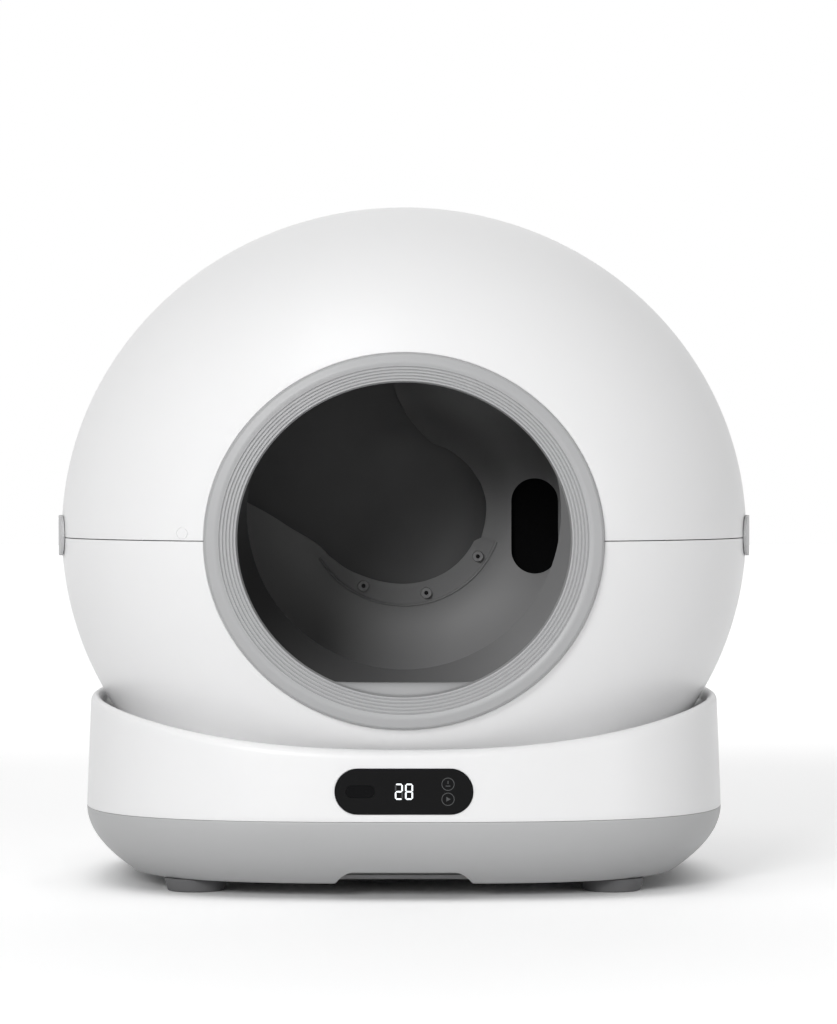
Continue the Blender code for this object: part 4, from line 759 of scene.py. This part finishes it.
def hullTub():
    b, wall, edge = base, base["wall"], base["hullRound"]
    bottom, top, floorZ = b["hullBottomZ"], b["seamZ"], b["hullBottomZ"] + pan["floor"]
    rows = [baseLoop(hullInset(z), z) for z in spaced(bottom, top - edge, b["hullLevels"])]
    rows += [baseLoop(edge * (1 - math.cos(a)), top - edge + edge * math.sin(a))
             for a in quarterTurn(3)[1:]]
    rows += [baseLoop(hullInset(z) + wall, z) for z in spaced(top, floorZ, 12)]
    tub = gridPiece("hullRear", rows, "hullGrey", caps=True, smoothAngle=50.0)
    wide = b["halfWidth"] + cutMargin
    cutWith(tub, blockPiece("frontCut", (-wide, -wide, floorZ), (wide, b["splitY"], top + cutMargin), "hullGrey", 0.0))
    inset = b["tuck"] + pan["edgeInset"]
    rim = [(x, y) for x, y in superellipse(b["halfWidth"] - inset, b["halfDepth"] - inset, b["power"], b["around"])
           if y < b["splitY"] - cutMargin]
    outline = ([(-wide, b["splitY"]), (rim[0][0], b["splitY"])] + rim
               + [(rim[-1][0], b["splitY"]), (wide, b["splitY"]), (wide, -wide), (-wide, -wide)])
    carve(tub, outline, 0.0, floorZ + cutMargin, placed(0.0, 0.0, 0.0))
    # the finger recess behind the notch leaves the floor's edge in the shade
    frontY = inset - b["halfDepth"]
    cutWith(tub, blockPiece("fingerCut", (-pan["fingerHalfWidth"], frontY - cutMargin, 0.0),
                            (pan["fingerHalfWidth"], frontY + pan["fingerReach"], floorZ + cutMargin), "hullGrey",
                            0.0))
    inlet = [(x + pan["inletX"], z + pan["inletZ"])
             for x, z in circle(pan["inletRadius"], spaced(0.0, tau, 32)[:-1])]
    carve(tub, inlet, -b["halfDepth"] - cutMargin, -b["halfDepth"] / 2, facingFront(0.0, 0.0, 0.0))
    low, high = floorZ - pan["floor"] / 2, floorZ + pan["guideHeight"]
    near, far = pan["guideReach"], pan["guideReach"] + pan["guideWidth"]
    stopY = pan["trayRearY"] + pan["stopGap"]
    rails = [blockPiece("rail", (left, pan["guideFrontY"], low), (right, pan["trayRearY"], high), "hullGrey")
             for left, right in ((-far, -near), (near, far))]
    rails.append(blockPiece("stop", (-pan["stopHalfWidth"], stopY, low),
                            (pan["stopHalfWidth"], stopY + pan["guideWidth"], high), "hullGrey"))
    return joinPieces("hullRear", [tub] + rails, "hullGrey")


fasciaPiece = drawerFront()
hullPiece = hullTub()
print("hull made")


# latches: curved pads over the seam at both sides
latch = {"halfLength": 0.055, "halfHeight": 0.015, "rise": 0.0015, "thick": 0.002, "edge": 0.0006, "lift": 0.00045}


def latchPad(name, side):
    rows = []
    for along in spaced(0.0, math.pi, 72):
        y = -latch["halfLength"] * math.cos(along)
        beyond = max(0.0, abs(y) - (latch["halfLength"] - latch["halfHeight"]))
        half = math.sqrt(max(1e-9, latch["halfHeight"] ** 2 - beyond ** 2))
        x = side * (globe["halfWidth"] * math.sqrt(1 - (y / globe["halfDepth"]) ** 2) + latch["lift"])
        rows.append([(x, y, globe["seamZ"] + latch["rise"] - half * math.cos(up)) for up in spaced(0.0, math.pi, 24)])
    pad = gridPiece(name, rows, "latchGrey", wrap=False)
    faceOutward(pad, lambda spot: Vector((side, 0.0, 0.0)))
    return thicken(pad, latch["thick"], latch["edge"], inward=False, segments=4)


latchPieces = {"latch_left": latchPad("latchPadLeft", -1), "latch_right": latchPad("latchPadRight", 1)}
print("latches made")


# control window: smoked lens, display digits and touch rings
def sensorOutline(grow):
    return stadium(window["sensorHalfWidth"] + grow, window["sensorHalfHeight"] + grow, (window["sensorX"], 0.0))


halfThick = window["thick"] / 2
onLens, inLens = lensMatrix(-window["proud"]), lensMatrix(halfThick - window["proud"])
windowPiece = prism("controlWindow", stadium(window["halfWidth"], window["halfHeight"], arc=40), -halfThick,
                    halfThick, inLens, "windowBlack", bevel=window["edge"])
carve(windowPiece, sensorOutline(window["sensorGap"]), -2 * cutMargin, 2 * cutMargin, lensMatrix(0.0))
sensorPiece = prism("sensorLens", sensorOutline(0.0), -halfThick, halfThick - window["sensorSink"], inLens,
                    "deepBlack", bevel=window["sensorEdge"])

digits = {"height": 0.0104, "width": 0.0046, "stroke": 0.0011, "gap": 0.00018, "spacing": 0.0072, "centreX": 0.0,
          "sink": 0.0002, "raise": 0.00006, "lit": ("abdeg", "abcdefg")}


def segmentOutline(digitX, part):
    h, w, s, gap = digits["height"] / 2, digits["width"] / 2, digits["stroke"] / 2, digits["gap"]
    bars = {"a": ((-w, h), (w, h)), "g": ((-w, 0), (w, 0)), "d": ((-w, -h), (w, -h)),
            "f": ((-w, 0), (-w, h)), "b": ((w, 0), (w, h)), "e": ((-w, -h), (-w, 0)), "c": ((w, -h), (w, 0))}
    (x0, y0), (x1, y1) = bars[part]
    flat = y0 == y1
    low, high, level = (x0, x1, y0) if flat else (y0, y1, x0)
    low, high = low + gap, high - gap
    line = ((low, 0.0), (low + s, s), (high - s, s), (high, 0.0), (high - s, -s), (low + s, -s))
    return [(digitX + a, level + b) if flat else (digitX + level + b, a) for a, b in line]


def lensMark(name, outline, look):
    return prism(name, outline, -digits["sink"], digits["raise"], onLens, look)


def displayDigits(name, look, wanted):
    marks = []
    for index, lit in enumerate(digits["lit"]):
        x = digits["centreX"] + (index - 0.5) * digits["spacing"]
        marks += [lensMark("segment", segmentOutline(x, part), look) for part in "abcdefg" if (part in lit) == wanted]
    return joinPieces(name, marks, look)


litPiece = displayDigits("displayLit", "litSegment", True)
dimPiece = displayDigits("displayDim", "dimSegment", False)


def touchMark(name, y, signs):
    x, outer, top = window["touchX"], window["touchRadius"], digits["raise"]
    inner = outer - window["touchStroke"]
    ring = turnedPiece(name, ((outer, 0.0), (outer, top), (inner, top), (inner, 0.0)),
                       lambda a, b, height: onLens @ Vector((x + a, y + b, height)), 64, "printedGrey", 50.0)
    signs = [lensMark(name + "Sign", [(x + px, y + py) for px, py in outline], "printedGrey") for outline in signs]
    return joinPieces(name, [ring] + signs, "printedGrey")


def bar(x0, y0, x1, y1):
    return [(x0, y0), (x1, y0), (x1, y1), (x0, y1)]


touchMarks = [touchMark("touchMarkUpper", window["touchHalfPitch"],
                        [bar(-0.0003, 0.0002, 0.0003, 0.0024), bar(-0.0017, -0.0016, 0.0017, -0.0010)]),
              touchMark("touchMarkLower", -window["touchHalfPitch"],
                        [[(-0.0012, -0.0017), (0.0019, 0.0), (-0.0012, 0.0017)]])]
print("control window made")


# drum: bowl, mouth, dished partition with its hole, channel and return port
drum = {"z": 0.276, "radius": 0.200, "frontY": -0.1533, "rearY": 0.148, "rearEdge": 0.002, "mouthRadius": 0.1138,
        "wall": 0.003, "collarFrontY": -0.182, "collarRadius": 0.1322, "collarWall": 0.0035, "collarEdge": 0.0005,
        "trackY": 0.115, "trackWidth": 0.016, "trackRadius": 0.1708, "trackEdge": 0.0004, "portHalfWidth": 0.070,
        "portHalfDepth": 0.045, "portY": 0.040, "portPower": 8.0, "around": 192}
partition = {"outerY": 0.060, "stripRadius": 0.0780, "holeRadius": 0.0653, "holeZ": 0.278, "coreRadius": 0.052,
             "stripY": 0.120, "recess": 0.004, "wall": 0.0025, "clearance": 0.0008, "portX": 0.1035,
             "portZ": 0.2627, "portHalfWidth": 0.0184, "portHalfHeight": 0.0377, "stripStart": -149.0,
             "stripEnd": -21.0, "bead": 0.0011}


def drumRadius(y, inset=0.0):
    return math.sqrt((drum["radius"] - inset) ** 2 - y ** 2)


def drumPiece(name, profile, look):
    return turnedPiece(name, profile, lambda a, b, y: (a, y + depthShift, drum["z"] + b), drum["around"], look, 40.0)


def drumBowl():
    d, edge, step = drum, drum["collarEdge"], drum["trackEdge"]
    near, far = d["trackY"] - d["trackWidth"] / 2, d["trackY"] + d["trackWidth"] / 2
    rearIn, frontIn = d["rearY"] - d["wall"], d["frontY"] + d["wall"]
    flare = (d["collarRadius"] - d["mouthRadius"]) / (frontIn - d["collarFrontY"])
    mouth, collarOut = d["mouthRadius"], d["collarRadius"] + d["collarWall"]
    outer = [(0.0, d["rearY"]), (drumRadius(d["rearY"]) - d["rearEdge"], d["rearY"]),
             (drumRadius(d["rearY"]), d["rearY"] - d["rearEdge"])]
    outer += [(drumRadius(y), y) for y in spaced(d["rearY"], far, 4)[1:]]
    outer += [(d["trackRadius"], far - step), (d["trackRadius"], near + step)]
    outer += [(drumRadius(y), y) for y in spaced(near, -near, 40)]
    outer += [(d["trackRadius"], -near - step), (d["trackRadius"], -far + step)]
    outer += [(drumRadius(y), y) for y in spaced(-far, d["frontY"], 5)]
    outer += [(mouth + d["collarWall"] + flare * d["wall"], d["frontY"]), (collarOut, d["collarFrontY"] + edge),
              (collarOut - edge, d["collarFrontY"])]
    inner = [(d["collarRadius"] + edge, d["collarFrontY"]), (d["collarRadius"], d["collarFrontY"] + edge)]
    inner += [(mouth + flare * (frontIn - y), y) for y in spaced(d["collarFrontY"], frontIn, 12)[1:-1]]
    # the mouth's rounded corner, then the dish
    inner += [(mouth + 0.0004, frontIn - 0.0008), (mouth, frontIn - 0.0002), (mouth + 0.0003, frontIn + 0.0002),
              (mouth + 0.001, frontIn + 0.0003)]
    inner += [(drumRadius(y, d["wall"]), y) for y in spaced(frontIn, rearIn, 60)]
    # painted shade: the bowl takes the darker hub copy of the drum grey, and its mouth collar the collar copy with its
    # painted shade band
    bowl = drumPiece("drumBowl", outer + inner + [(0.0, rearIn)], "hubGrey")
    bowl.data.materials.append(finishes["collarGrey"])
    for face in bowl.data.polygons:
        if face.center.y < frontIn + 0.0004 + depthShift:
            face.material_index = 1
    outline = superellipse(d["portHalfWidth"], d["portHalfDepth"], d["portPower"], 120)
    stand = placed(0.0, d["portY"] - d["portHalfDepth"], d["z"] + d["radius"])
    return carve(bowl, outline, -10 * cutMargin, 10 * cutMargin, stand)


bowlPiece = drumBowl()
# edge of the hole, in degrees from +X and shares of its radius, then the channel that opens from it up and left
holeArc = ((-147, 1.09), (-133, 1.03), (-119, 0.976), (-105, 0.95), (-90, 0.94), (-75, 0.94), (-60, 0.945),
           (-48, 0.948), (-36, 0.95), (-26, 0.953))
holeRight = ((-22, 1.012), (-10, 1.004), (3, 1.0), (15, 0.977), (24, 0.95), (33, 0.93), (43, 0.90), (53, 0.878),
             (67, 0.854))
channelRight = ((0.14, 0.979), (0.0, 1.173), (-0.109, 1.427), (-0.18, 1.8), (-0.25, 2.4), (-0.3, 3.2))
channelLeft = ((-3.2, 0.7), (-1.862, 0.033), (-1.358, -0.27), (-1.056, -0.451))


# a curve through all the points, in count steps from each to the next
def smoothLine(points, count=8):
    dense = []
    last = len(points) - 1
    for i in range(last):
        around = (points[max(0, i - 1)], points[i], points[i + 1], points[min(last, i + 2)])
        for k in range(count):
            t = k / count
            dense.append(tuple(0.5 * ((2 * b) + (c - a) * t + (2 * a - 5 * b + 4 * c - d) * t * t
                                      + (3 * b - a - 3 * c + d) * t ** 3) for a, b, c, d in zip(*around)))
    dense.append(points[-1])
    return dense


def arcBead(name, radius, thick, y, z, turns, look, sides=10):
    bm = bmesh.new()
    section = circle(thick, spaced(0.0, tau, sides)[:-1])
    rows = [[bm.verts.new(((radius + out) * math.cos(turn), y + back, z + (radius + out) * math.sin(turn)))
             for out, back in section] for turn in turns]
    for first, second in zip(rows, rows[1:]):
        bridge(bm, first, second)
    bm.faces.new(rows[0])
    bm.faces.new(rows[-1][::-1])
    return meshPiece(name, bm, look, 60.0)


def partitionWall():
    p = partition
    outer = drumRadius(p["outerY"], drum["wall"]) - p["clearance"]
    depth = p["stripY"] - p["outerY"]
    front = [(outer + (p["stripRadius"] - outer) * share, p["outerY"] + depth * math.sin(share * math.pi / 2))
             for share in spaced(0.0, 1.0, 48)]
    backY = p["stripY"] + p["recess"] + p["wall"]
    core = [(p["coreRadius"], p["stripY"]), (p["coreRadius"], backY), (p["stripRadius"] + p["wall"], backY)]
    rear = [(r - p["wall"] / 4, y + p["wall"]) for r, y in front[::-1][1:]]
    rear[-1] = (drumRadius(p["outerY"] + p["wall"], drum["wall"]) - p["clearance"], p["outerY"] + p["wall"])
    # painted light and painted shade: the wall takes the lighter copy of the drum grey, with a painted shade band by
    # the channel
    wall = drumPiece("partitionWall", front + core + rear, "wallGrey")

    def sized(pairs):
        return [(x * p["holeRadius"], z * p["holeRadius"]) for x, z in pairs]

    def polar(pairs):
        return sized([(share * math.cos(math.radians(a)), share * math.sin(math.radians(a))) for a, share in pairs])

    low = smoothLine(polar(holeArc))
    right = smoothLine(polar(holeRight) + sized(channelRight))
    left = smoothLine(sized(channelLeft) + [low[0]])[:-1]
    turns = [math.radians(a) for a in spaced(p["stripStart"], p["stripEnd"], 64)]
    through = facingFront(0.0, (p["outerY"] + p["stripY"]) / 2, p["holeZ"])
    carve(wall, low + right + sized([(-3.2, 3.2)]) + left, -depth, depth, through)
    strip = circle(p["stripRadius"], turns) + circle(p["coreRadius"], turns[::-1])
    carve(wall, strip, -p["recess"], p["recess"], facingFront(0.0, p["stripY"], p["holeZ"]))
    port = stadium(p["portHalfWidth"], p["portHalfHeight"], (p["portX"], p["portZ"] - p["holeZ"]))
    carve(wall, port, -depth, depth, through)
    bead = arcBead("stripBead", p["stripRadius"] + p["bead"] / 3, p["bead"], p["stripY"] + depthShift, p["holeZ"],
                   turns, "wallGrey")
    return joinPieces("partitionWall", [wall, bead], "wallGrey")


partitionPiece = partitionWall()
print("drum made")


# Geometry Nodes helpers
def geometryTree(name, inputs):
    tree = bpy.data.node_groups.new(name, "GeometryNodeTree")
    for way in ("INPUT", "OUTPUT"):
        tree.interface.new_socket(name="Geometry", in_out=way, socket_type="NodeSocketGeometry")
    sockets = {}
    for label, (kind, value) in inputs.items():
        socket = tree.interface.new_socket(name=label, in_out="INPUT", socket_type="NodeSocket" + kind)
        if value is not None:
            socket.default_value = value
        sockets[label] = socket.identifier
    return tree, tree.nodes.new("NodeGroupInput").outputs, tree.nodes.new("NodeGroupOutput").inputs, sockets


def raised(tree, mesh, height):
    up = addNode(tree, "ShaderNodeCombineXYZ", {"Z": height}).outputs[0]
    return addNode(tree, "GeometryNodeTransform", {"Geometry": mesh, "Translation": up}).outputs["Geometry"]


def cutNode(tree, mesh, cutters):
    node = addNode(tree, "GeometryNodeMeshBoolean", {"Mesh 1": mesh}, operation="DIFFERENCE", solver="EXACT")
    for cutter in cutters:
        link(tree, cutter, node.inputs["Mesh 2"])
    return node.outputs["Mesh"]


def paintNode(tree, mesh, look):
    return addNode(tree, "GeometryNodeSetMaterial", {"Geometry": mesh, "Material": look}).outputs["Geometry"]


def alignNode(tree, direction):
    return addNode(tree, "FunctionNodeAlignRotationToVector", {"Vector": direction}, axis="Z").outputs["Rotation"]


def spreadNode(tree, points, mesh, rotation):
    spread = addNode(tree, "GeometryNodeInstanceOnPoints", {"Points": points, "Instance": mesh, "Rotation": rotation})
    return addNode(tree, "GeometryNodeRealizeInstances", {"Geometry": spread.outputs["Instances"]}).outputs["Geometry"]


def spreadOn(name, seats, tree, sockets, values):
    mesh = bpy.data.meshes.new(name)
    mesh.from_pydata([tuple(spot) for spot in seats], [], [])
    obj = addObject(name, mesh)
    step = obj.modifiers.new("made", "NODES")
    step.node_group = tree
    for label, value in values.items():
        step[sockets[label]] = value
    bakeModifiers(obj)
    smooth(obj.data, 38.0)
    return obj


# pan head screws with a cross recess, one on every point; shares are of the head's radius
screw = {"topShare": 0.74, "bladeShare": 1.15, "spin": 1.5, "sideSegments": 5, "fillSegments": 3}


def screwTree():
    tree, given, result, sockets = geometryTree("panHeadScrews", {
        "Head Radius": ("Float", 0.0032), "Head Height": ("Float", 0.002), "Recess Width": ("Float", 0.0009),
        "Sides": ("Int", 40), "Direction": ("Vector", (0.0, 0.0, 1.0)), "Turn Seed": ("Int", 3),
        "Finish": ("Material", None)})
    radius, height = given["Head Radius"], given["Head Height"]
    head = addNode(tree, "GeometryNodeMeshCone", {
        "Vertices": given["Sides"], "Side Segments": screw["sideSegments"], "Fill Segments": screw["fillSegments"],
        "Radius Top": times(tree, radius, screw["topShare"]), "Radius Bottom": radius, "Depth": height})
    blades = []
    for longAxis, shortAxis in (("X", "Y"), ("Y", "X")):
        size = addNode(tree, "ShaderNodeCombineXYZ", {longAxis: times(tree, radius, screw["bladeShare"]),
                                                      shortAxis: given["Recess Width"], "Z": height})
        blade = addNode(tree, "GeometryNodeMeshCube", {"Size": size.outputs[0]})
        blades.append(raised(tree, blade.outputs["Mesh"], height))
    spin = addNode(tree, "FunctionNodeRandomValue", {0: (0.0, 0.0, 0.0), 1: (0.0, 0.0, screw["spin"]),
                                                     "Seed": given["Turn Seed"]}, data_type="FLOAT_VECTOR")
    turned = addNode(tree, "FunctionNodeRotateRotation", {"Rotation": alignNode(tree, given["Direction"]),
                                                          "Rotate By": spin.outputs[0]}, rotation_space="LOCAL")
    screws = spreadNode(tree, given["Geometry"], cutNode(tree, head.outputs["Mesh"], blades),
                        turned.outputs["Rotation"])
    link(tree, paintNode(tree, screws, given["Finish"]), result["Geometry"])
    return tree, sockets


# raised posts with a deep round socket and a painted shade disc inside it, one on every point; lifts and depths are
# shares of the height
post = {"topShare": 0.9, "boreLift": 0.7, "bottomShare": 0.97, "bottomDepth": 0.12, "bottomLift": 0.28}


def postTree():
    tree, given, result, sockets = geometryTree("socketPosts", {
        "Post Radius": ("Float", 0.0045), "Post Height": ("Float", 0.0046), "Socket Radius": ("Float", 0.0017),
        "Sides": ("Int", 36), "Direction": ("Vector", (0.0, 0.0, 1.0)), "Finish": ("Material", None),
        "Socket Finish": ("Material", None)})
    radius, height, socket = given["Post Radius"], given["Post Height"], given["Socket Radius"]
    body = addNode(tree, "GeometryNodeMeshCone", {
        "Vertices": given["Sides"], "Radius Top": times(tree, radius, post["topShare"]), "Radius Bottom": radius,
        "Depth": height})
    bore = addNode(tree, "GeometryNodeMeshCylinder", {"Radius": socket, "Depth": height})
    hollow = cutNode(tree, body.outputs["Mesh"],
                     [raised(tree, bore.outputs["Mesh"], times(tree, height, post["boreLift"]))])
    # painted shade: a black disc down in the bore stands in for the shade at the socket's bottom
    bottom = addNode(tree, "GeometryNodeMeshCylinder", {"Radius": times(tree, socket, post["bottomShare"]),
                                                        "Depth": times(tree, height, post["bottomDepth"])})
    paintedShadeDisc = raised(tree, bottom.outputs["Mesh"], times(tree, height, post["bottomLift"]))
    both = tree.nodes.new("GeometryNodeJoinGeometry")
    for mesh, look in ((hollow, given["Finish"]), (paintedShadeDisc, given["Socket Finish"])):
        spread = spreadNode(tree, given["Geometry"], mesh, alignNode(tree, given["Direction"]))
        link(tree, paintNode(tree, spread, look), both.inputs["Geometry"])
    link(tree, both.outputs["Geometry"], result["Geometry"])
    return tree, sockets


def numbered(stem, count):
    return [f"{stem}_{i}" for i in range(1, count + 1)]


# middles of the named nodes, moved along one axis to the low or high end
def seatsOf(names, axis, end):
    seats = []
    for name in names:
        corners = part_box(name)
        middle = [(a + b) / 2 for a, b in zip(*corners)]
        middle[axis] = corners[end][axis]
        seats.append(middle)
    return seats


lowEnd, highEnd = 0, 1
# the posts' painted shade discs take the deep black
partitionScrews = spreadOn("partitionPosts", seatsOf(numbered("partition_screw", 3), 1, highEnd), *postTree(),
                           {"Direction": (0.0, -1.0, 0.0), "Finish": finishes["bossGrey"],
                            "Socket Finish": finishes["deepBlack"]})
screwHeads = screwTree()
gearScrews = spreadOn("gearScrewHeads", seatsOf(numbered("gear_screw", 4), 1, lowEnd), *screwHeads,
                      {"Direction": (0.0, 1.0, 0.0), "Finish": finishes["zincSteel"], "Turn Seed": 5})
baseScrews = spreadOn("baseScrewHeads", seatsOf(numbered("base_screw", 4), 2, highEnd), *screwHeads,
                      {"Direction": (0.0, 0.0, -1.0), "Finish": finishes["zincSteel"], "Turn Seed": 7})
print("screws made")


# feet: turned rubber with anti-slip rings under the sole
foot = {"radius": 0.023, "soleRadius": 0.021, "x": 0.152, "y": 0.125, "height": 0.0097, "topRound": 0.001,
        "soleRound": 0.0015, "rings": 5, "ringInset": 0.003, "ringEnd": 0.001, "ringDepth": 0.0007, "around": 64}


def footPiece(name, x, y):
    top, sole, depth = foot["topRound"], foot["soleRound"], foot["ringDepth"]
    profile = [(0.0, foot["height"])]
    profile += [(foot["radius"] - top + top * math.sin(a), foot["height"] - top + top * math.cos(a))
                for a in quarterTurn(4)]
    profile += [(foot["soleRadius"] - sole + sole * math.cos(a), sole - sole * math.sin(a))
                for a in quarterTurn(5)]
    pitch = (foot["soleRadius"] - foot["ringInset"] - foot["ringEnd"]) / foot["rings"]
    for i in range(foot["rings"]):
        r = foot["soleRadius"] - foot["ringInset"] - pitch * i
        profile += [(r, 0.0), (r - pitch * 0.15, depth), (r - pitch * 0.45, depth), (r - pitch * 0.6, 0.0)]
    profile.append((0.0, 0.0))
    return turnedPiece(name, profile, lambda a, b, z: (x + a, y + depthShift + b, z), foot["around"], "footRubber",
                       45.0)


feet = {}
for end, endY in (("front", -1), ("rear", 1)):
    for side, sideX in (("left", -1), ("right", 1)):
        feet[f"foot_{end}_{side}"] = footPiece(f"rubberFoot{end.title()}{side.title()}", sideX * foot["x"],
                                               endY * foot["y"])
print("feet made")


# what each piece stands for, and the body that carries it
carried = [
    (upperGlobe, "upper_shell", ["upper_shell"], "white_shell"), (lowerGlobe, "root", ["lower_shell"], "white_shell"),
    (ringPiece, "root", ["entry_bezel"], "grey_trim"), (collarPiece, "root", ["base_housing"], "white_shell"),
    (fasciaPiece, "drawer", ["drawer_fascia"], "grey_trim"), (hullPiece, "root", ["base_pan"], "grey_trim"),
    (windowPiece, "root", ["control_lens"], "black_gloss"), (sensorPiece, "root", ["sensor_window"], "dark_window"),
    (litPiece, "root", [], "black_gloss"), (dimPiece, "root", [], "black_gloss"),
    (touchMarks[0], "root", [], "black_gloss"), (touchMarks[1], "root", [], "black_gloss"),
    (bowlPiece, "drum", ["drum_shell"], "inner_grey"), (partitionPiece, "drum", ["drum_partition"], "inner_grey"),
    (partitionScrews, "drum", numbered("partition_screw", 3), "steel"),
    (gearScrews, "drum", numbered("gear_screw", 4), "steel"),
    (baseScrews, "root", numbered("base_screw", 4), "steel")]
carried += [(piece, name, [name], "grey_trim") for name, piece in latchPieces.items()]
carried += [(piece, "root", [name], "rubber") for name, piece in feet.items()]
for piece, body, nodes, slotName in carried:
    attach(piece, body)
    if nodes:
        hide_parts(*nodes)

# finishes for the nodes that stay, by name and then by the start of the name
nodeFinish = {"odour_pad": "filterFoam", "waste_tray": "drumGrey", "bag_frame": "deepBlack",
              "cradle_front": "drumGrey", "cradle_rear": "drumGrey", "sieve_screen": "naturalNylon",
              "drum_lip_seal": "footRubber", "ring_gear": "naturalNylon", "pinion": "naturalNylon",
              "drive_shaft": "zincSteel", "gearbox": "castMetal", "motor": "zincSteel", "motor_bracket": "zincSteel",
              "control_board": "boardGreen", "display_module": "deepBlack", "power_inlet": "deepBlack"}
familyFinish = {"roller_pin": "zincSteel", "touch_contact": "zincSteel", "roller": "footRubber",
                "load_cell": "castMetal"}
for name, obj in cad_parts.items():
    family = next((look for stem, look in familyFinish.items() if name.startswith(stem)), None)
    look = nodeFinish.get(name, family)
    if look:
        obj.data.materials.clear()
        obj.data.materials.append(finishes[look])
print("nodes finished")


# floor, light and camera
lamps = {"keyLamp": {"place": (-1.105, -3.409, 1.452), "size": 1.0, "power": 61.0, "shown": True},
         "topLamp": {"place": (-0.784, -1.135, 2.991), "size": 1.4, "power": 14.0, "shown": True},
         "rearLamp": {"place": (0.205, 2.737, 1.95), "size": 1.6, "power": 22.0, "shown": False},
         "sideLamp": {"place": (2.276, -2.11, 0.668), "size": 1.0, "power": 10.5, "shown": True}}
studio = {"floorHalf": 14.0, "floor": (0.94, 0.94, 0.942), "floorTone": 1.01, "floorLift": 0.27, "farLift": 0.80,
          "contactFrom": 0.84, "contactTo": 1.06, "farFrom": 5.0, "farTo": 20.0, "world": 0.34,
          "lampTarget": (0.0, -0.2, 0.25), "lens": 138.3, "sensor": 36.0, "clipEnd": 60.0, "cameraY": -3.0131,
          "cameraZ": 0.303, "shiftX": 0.0142, "shiftY": -0.0361}


# 1 where the surface is seen, 0 where it only lights others
def seenShare(tree):
    rays = tree.nodes.new("ShaderNodeLightPath").outputs
    return mathNode(tree, "MAXIMUM", rays["Is Camera Ray"],
                    mathNode(tree, "MAXIMUM", rays["Is Glossy Ray"], rays["Is Transmission Ray"]))


def studioFloor():
    bm = bmesh.new()
    half = studio["floorHalf"]
    bm.faces.new([bm.verts.new((x * half, y * half, 0.0)) for x, y in ((-1, -1), (1, -1), (1, 1), (-1, 1))])
    mesh = bpy.data.meshes.new("studioFloor")
    bm.to_mesh(mesh)
    bm.free()
    look, tree = newMaterial("paleFloor", studio["floor"])
    coords = objectCoords(tree)
    apart = addNode(tree, "ShaderNodeSeparateXYZ", {0: coords}).outputs

    def power(value, size):
        share = mathNode(tree, "ABSOLUTE", mathNode(tree, "DIVIDE", value, size))
        return mathNode(tree, "POWER", share, base["power"])

    # the lift towards white fades out where the object stands, so that its contact shadow stays
    both = plus(tree, power(apart["X"], base["halfWidth"]),
                power(minus(tree, apart["Y"], depthShift), base["halfDepth"]))
    away = mathNode(tree, "POWER", both, 1 / base["power"])
    fade = addNode(tree, "ShaderNodeMapRange", {
        "Value": away, "From Min": studio["contactFrom"], "From Max": studio["contactTo"]},
        interpolation_type="SMOOTHSTEP")
    # far from the lamps the floor needs more of it
    far = addNode(tree, "ShaderNodeMapRange", {
        "Value": away, "From Min": studio["farFrom"], "From Max": studio["farTo"], "To Min": studio["floorLift"],
        "To Max": studio["farLift"]})
    lift = times(tree, times(tree, fade.outputs["Result"], seenShare(tree)), far.outputs["Result"])
    lighter = tuple(min(1.0, c * studio["floorTone"]) for c in studio["floor"])
    tone = mixColour(tree, noise(tree, coords, 3.0, 3.0), studio["floor"], lighter)
    setInputs(tree, tree.nodes["Principled BSDF"], {
        "Base Color": tone, "Roughness": 0.75, "Specular IOR Level": 0.1, "Emission Color": (1.0, 1.0, 1.0),
        "Emission Strength": lift})
    mesh.materials.append(look)
    obj = addObject("studioFloor", mesh)


def studioWorld():
    world = bpy.data.worlds.new("studio")
    world.use_nodes = True
    tree = world.node_tree
    strength = plus(tree, times(tree, seenShare(tree), 1.0 - studio["world"]), studio["world"])
    setInputs(tree, tree.nodes["Background"], {"Color": (1.0, 1.0, 1.0), "Strength": strength})
    bpy.context.scene.world = world


def softLamp(name, values):
    lamp = bpy.data.lights.new(name, "AREA")
    lamp.shape = "RECTANGLE"
    lamp.size = lamp.size_y = values["size"]
    lamp.energy = values["power"]
    obj = addObject(name, lamp)
    obj.location = values["place"]
    obj.visible_camera = False
    obj.visible_glossy = values["shown"]
    aim = Vector(studio["lampTarget"]) - Vector(values["place"])
    obj.rotation_euler = aim.to_track_quat("-Z", "Y").to_euler()


def photoCamera():
    view = bpy.data.cameras.new("photoView")
    view.lens = studio["lens"]
    view.sensor_fit = "VERTICAL"
    view.sensor_width = view.sensor_height = studio["sensor"]
    view.shift_x, view.shift_y = studio["shiftX"], studio["shiftY"]
    view.clip_end = studio["clipEnd"]
    camera = addObject("photoView", view)
    camera.location = (0.0, studio["cameraY"], studio["cameraZ"])
    camera.rotation_euler = (math.pi / 2, 0.0, 0.0)
    bpy.context.scene.camera = camera


studioFloor()
studioWorld()
for name, values in lamps.items():
    softLamp(name, values)
photoCamera()
bpy.context.scene.view_settings.view_transform = "Standard"
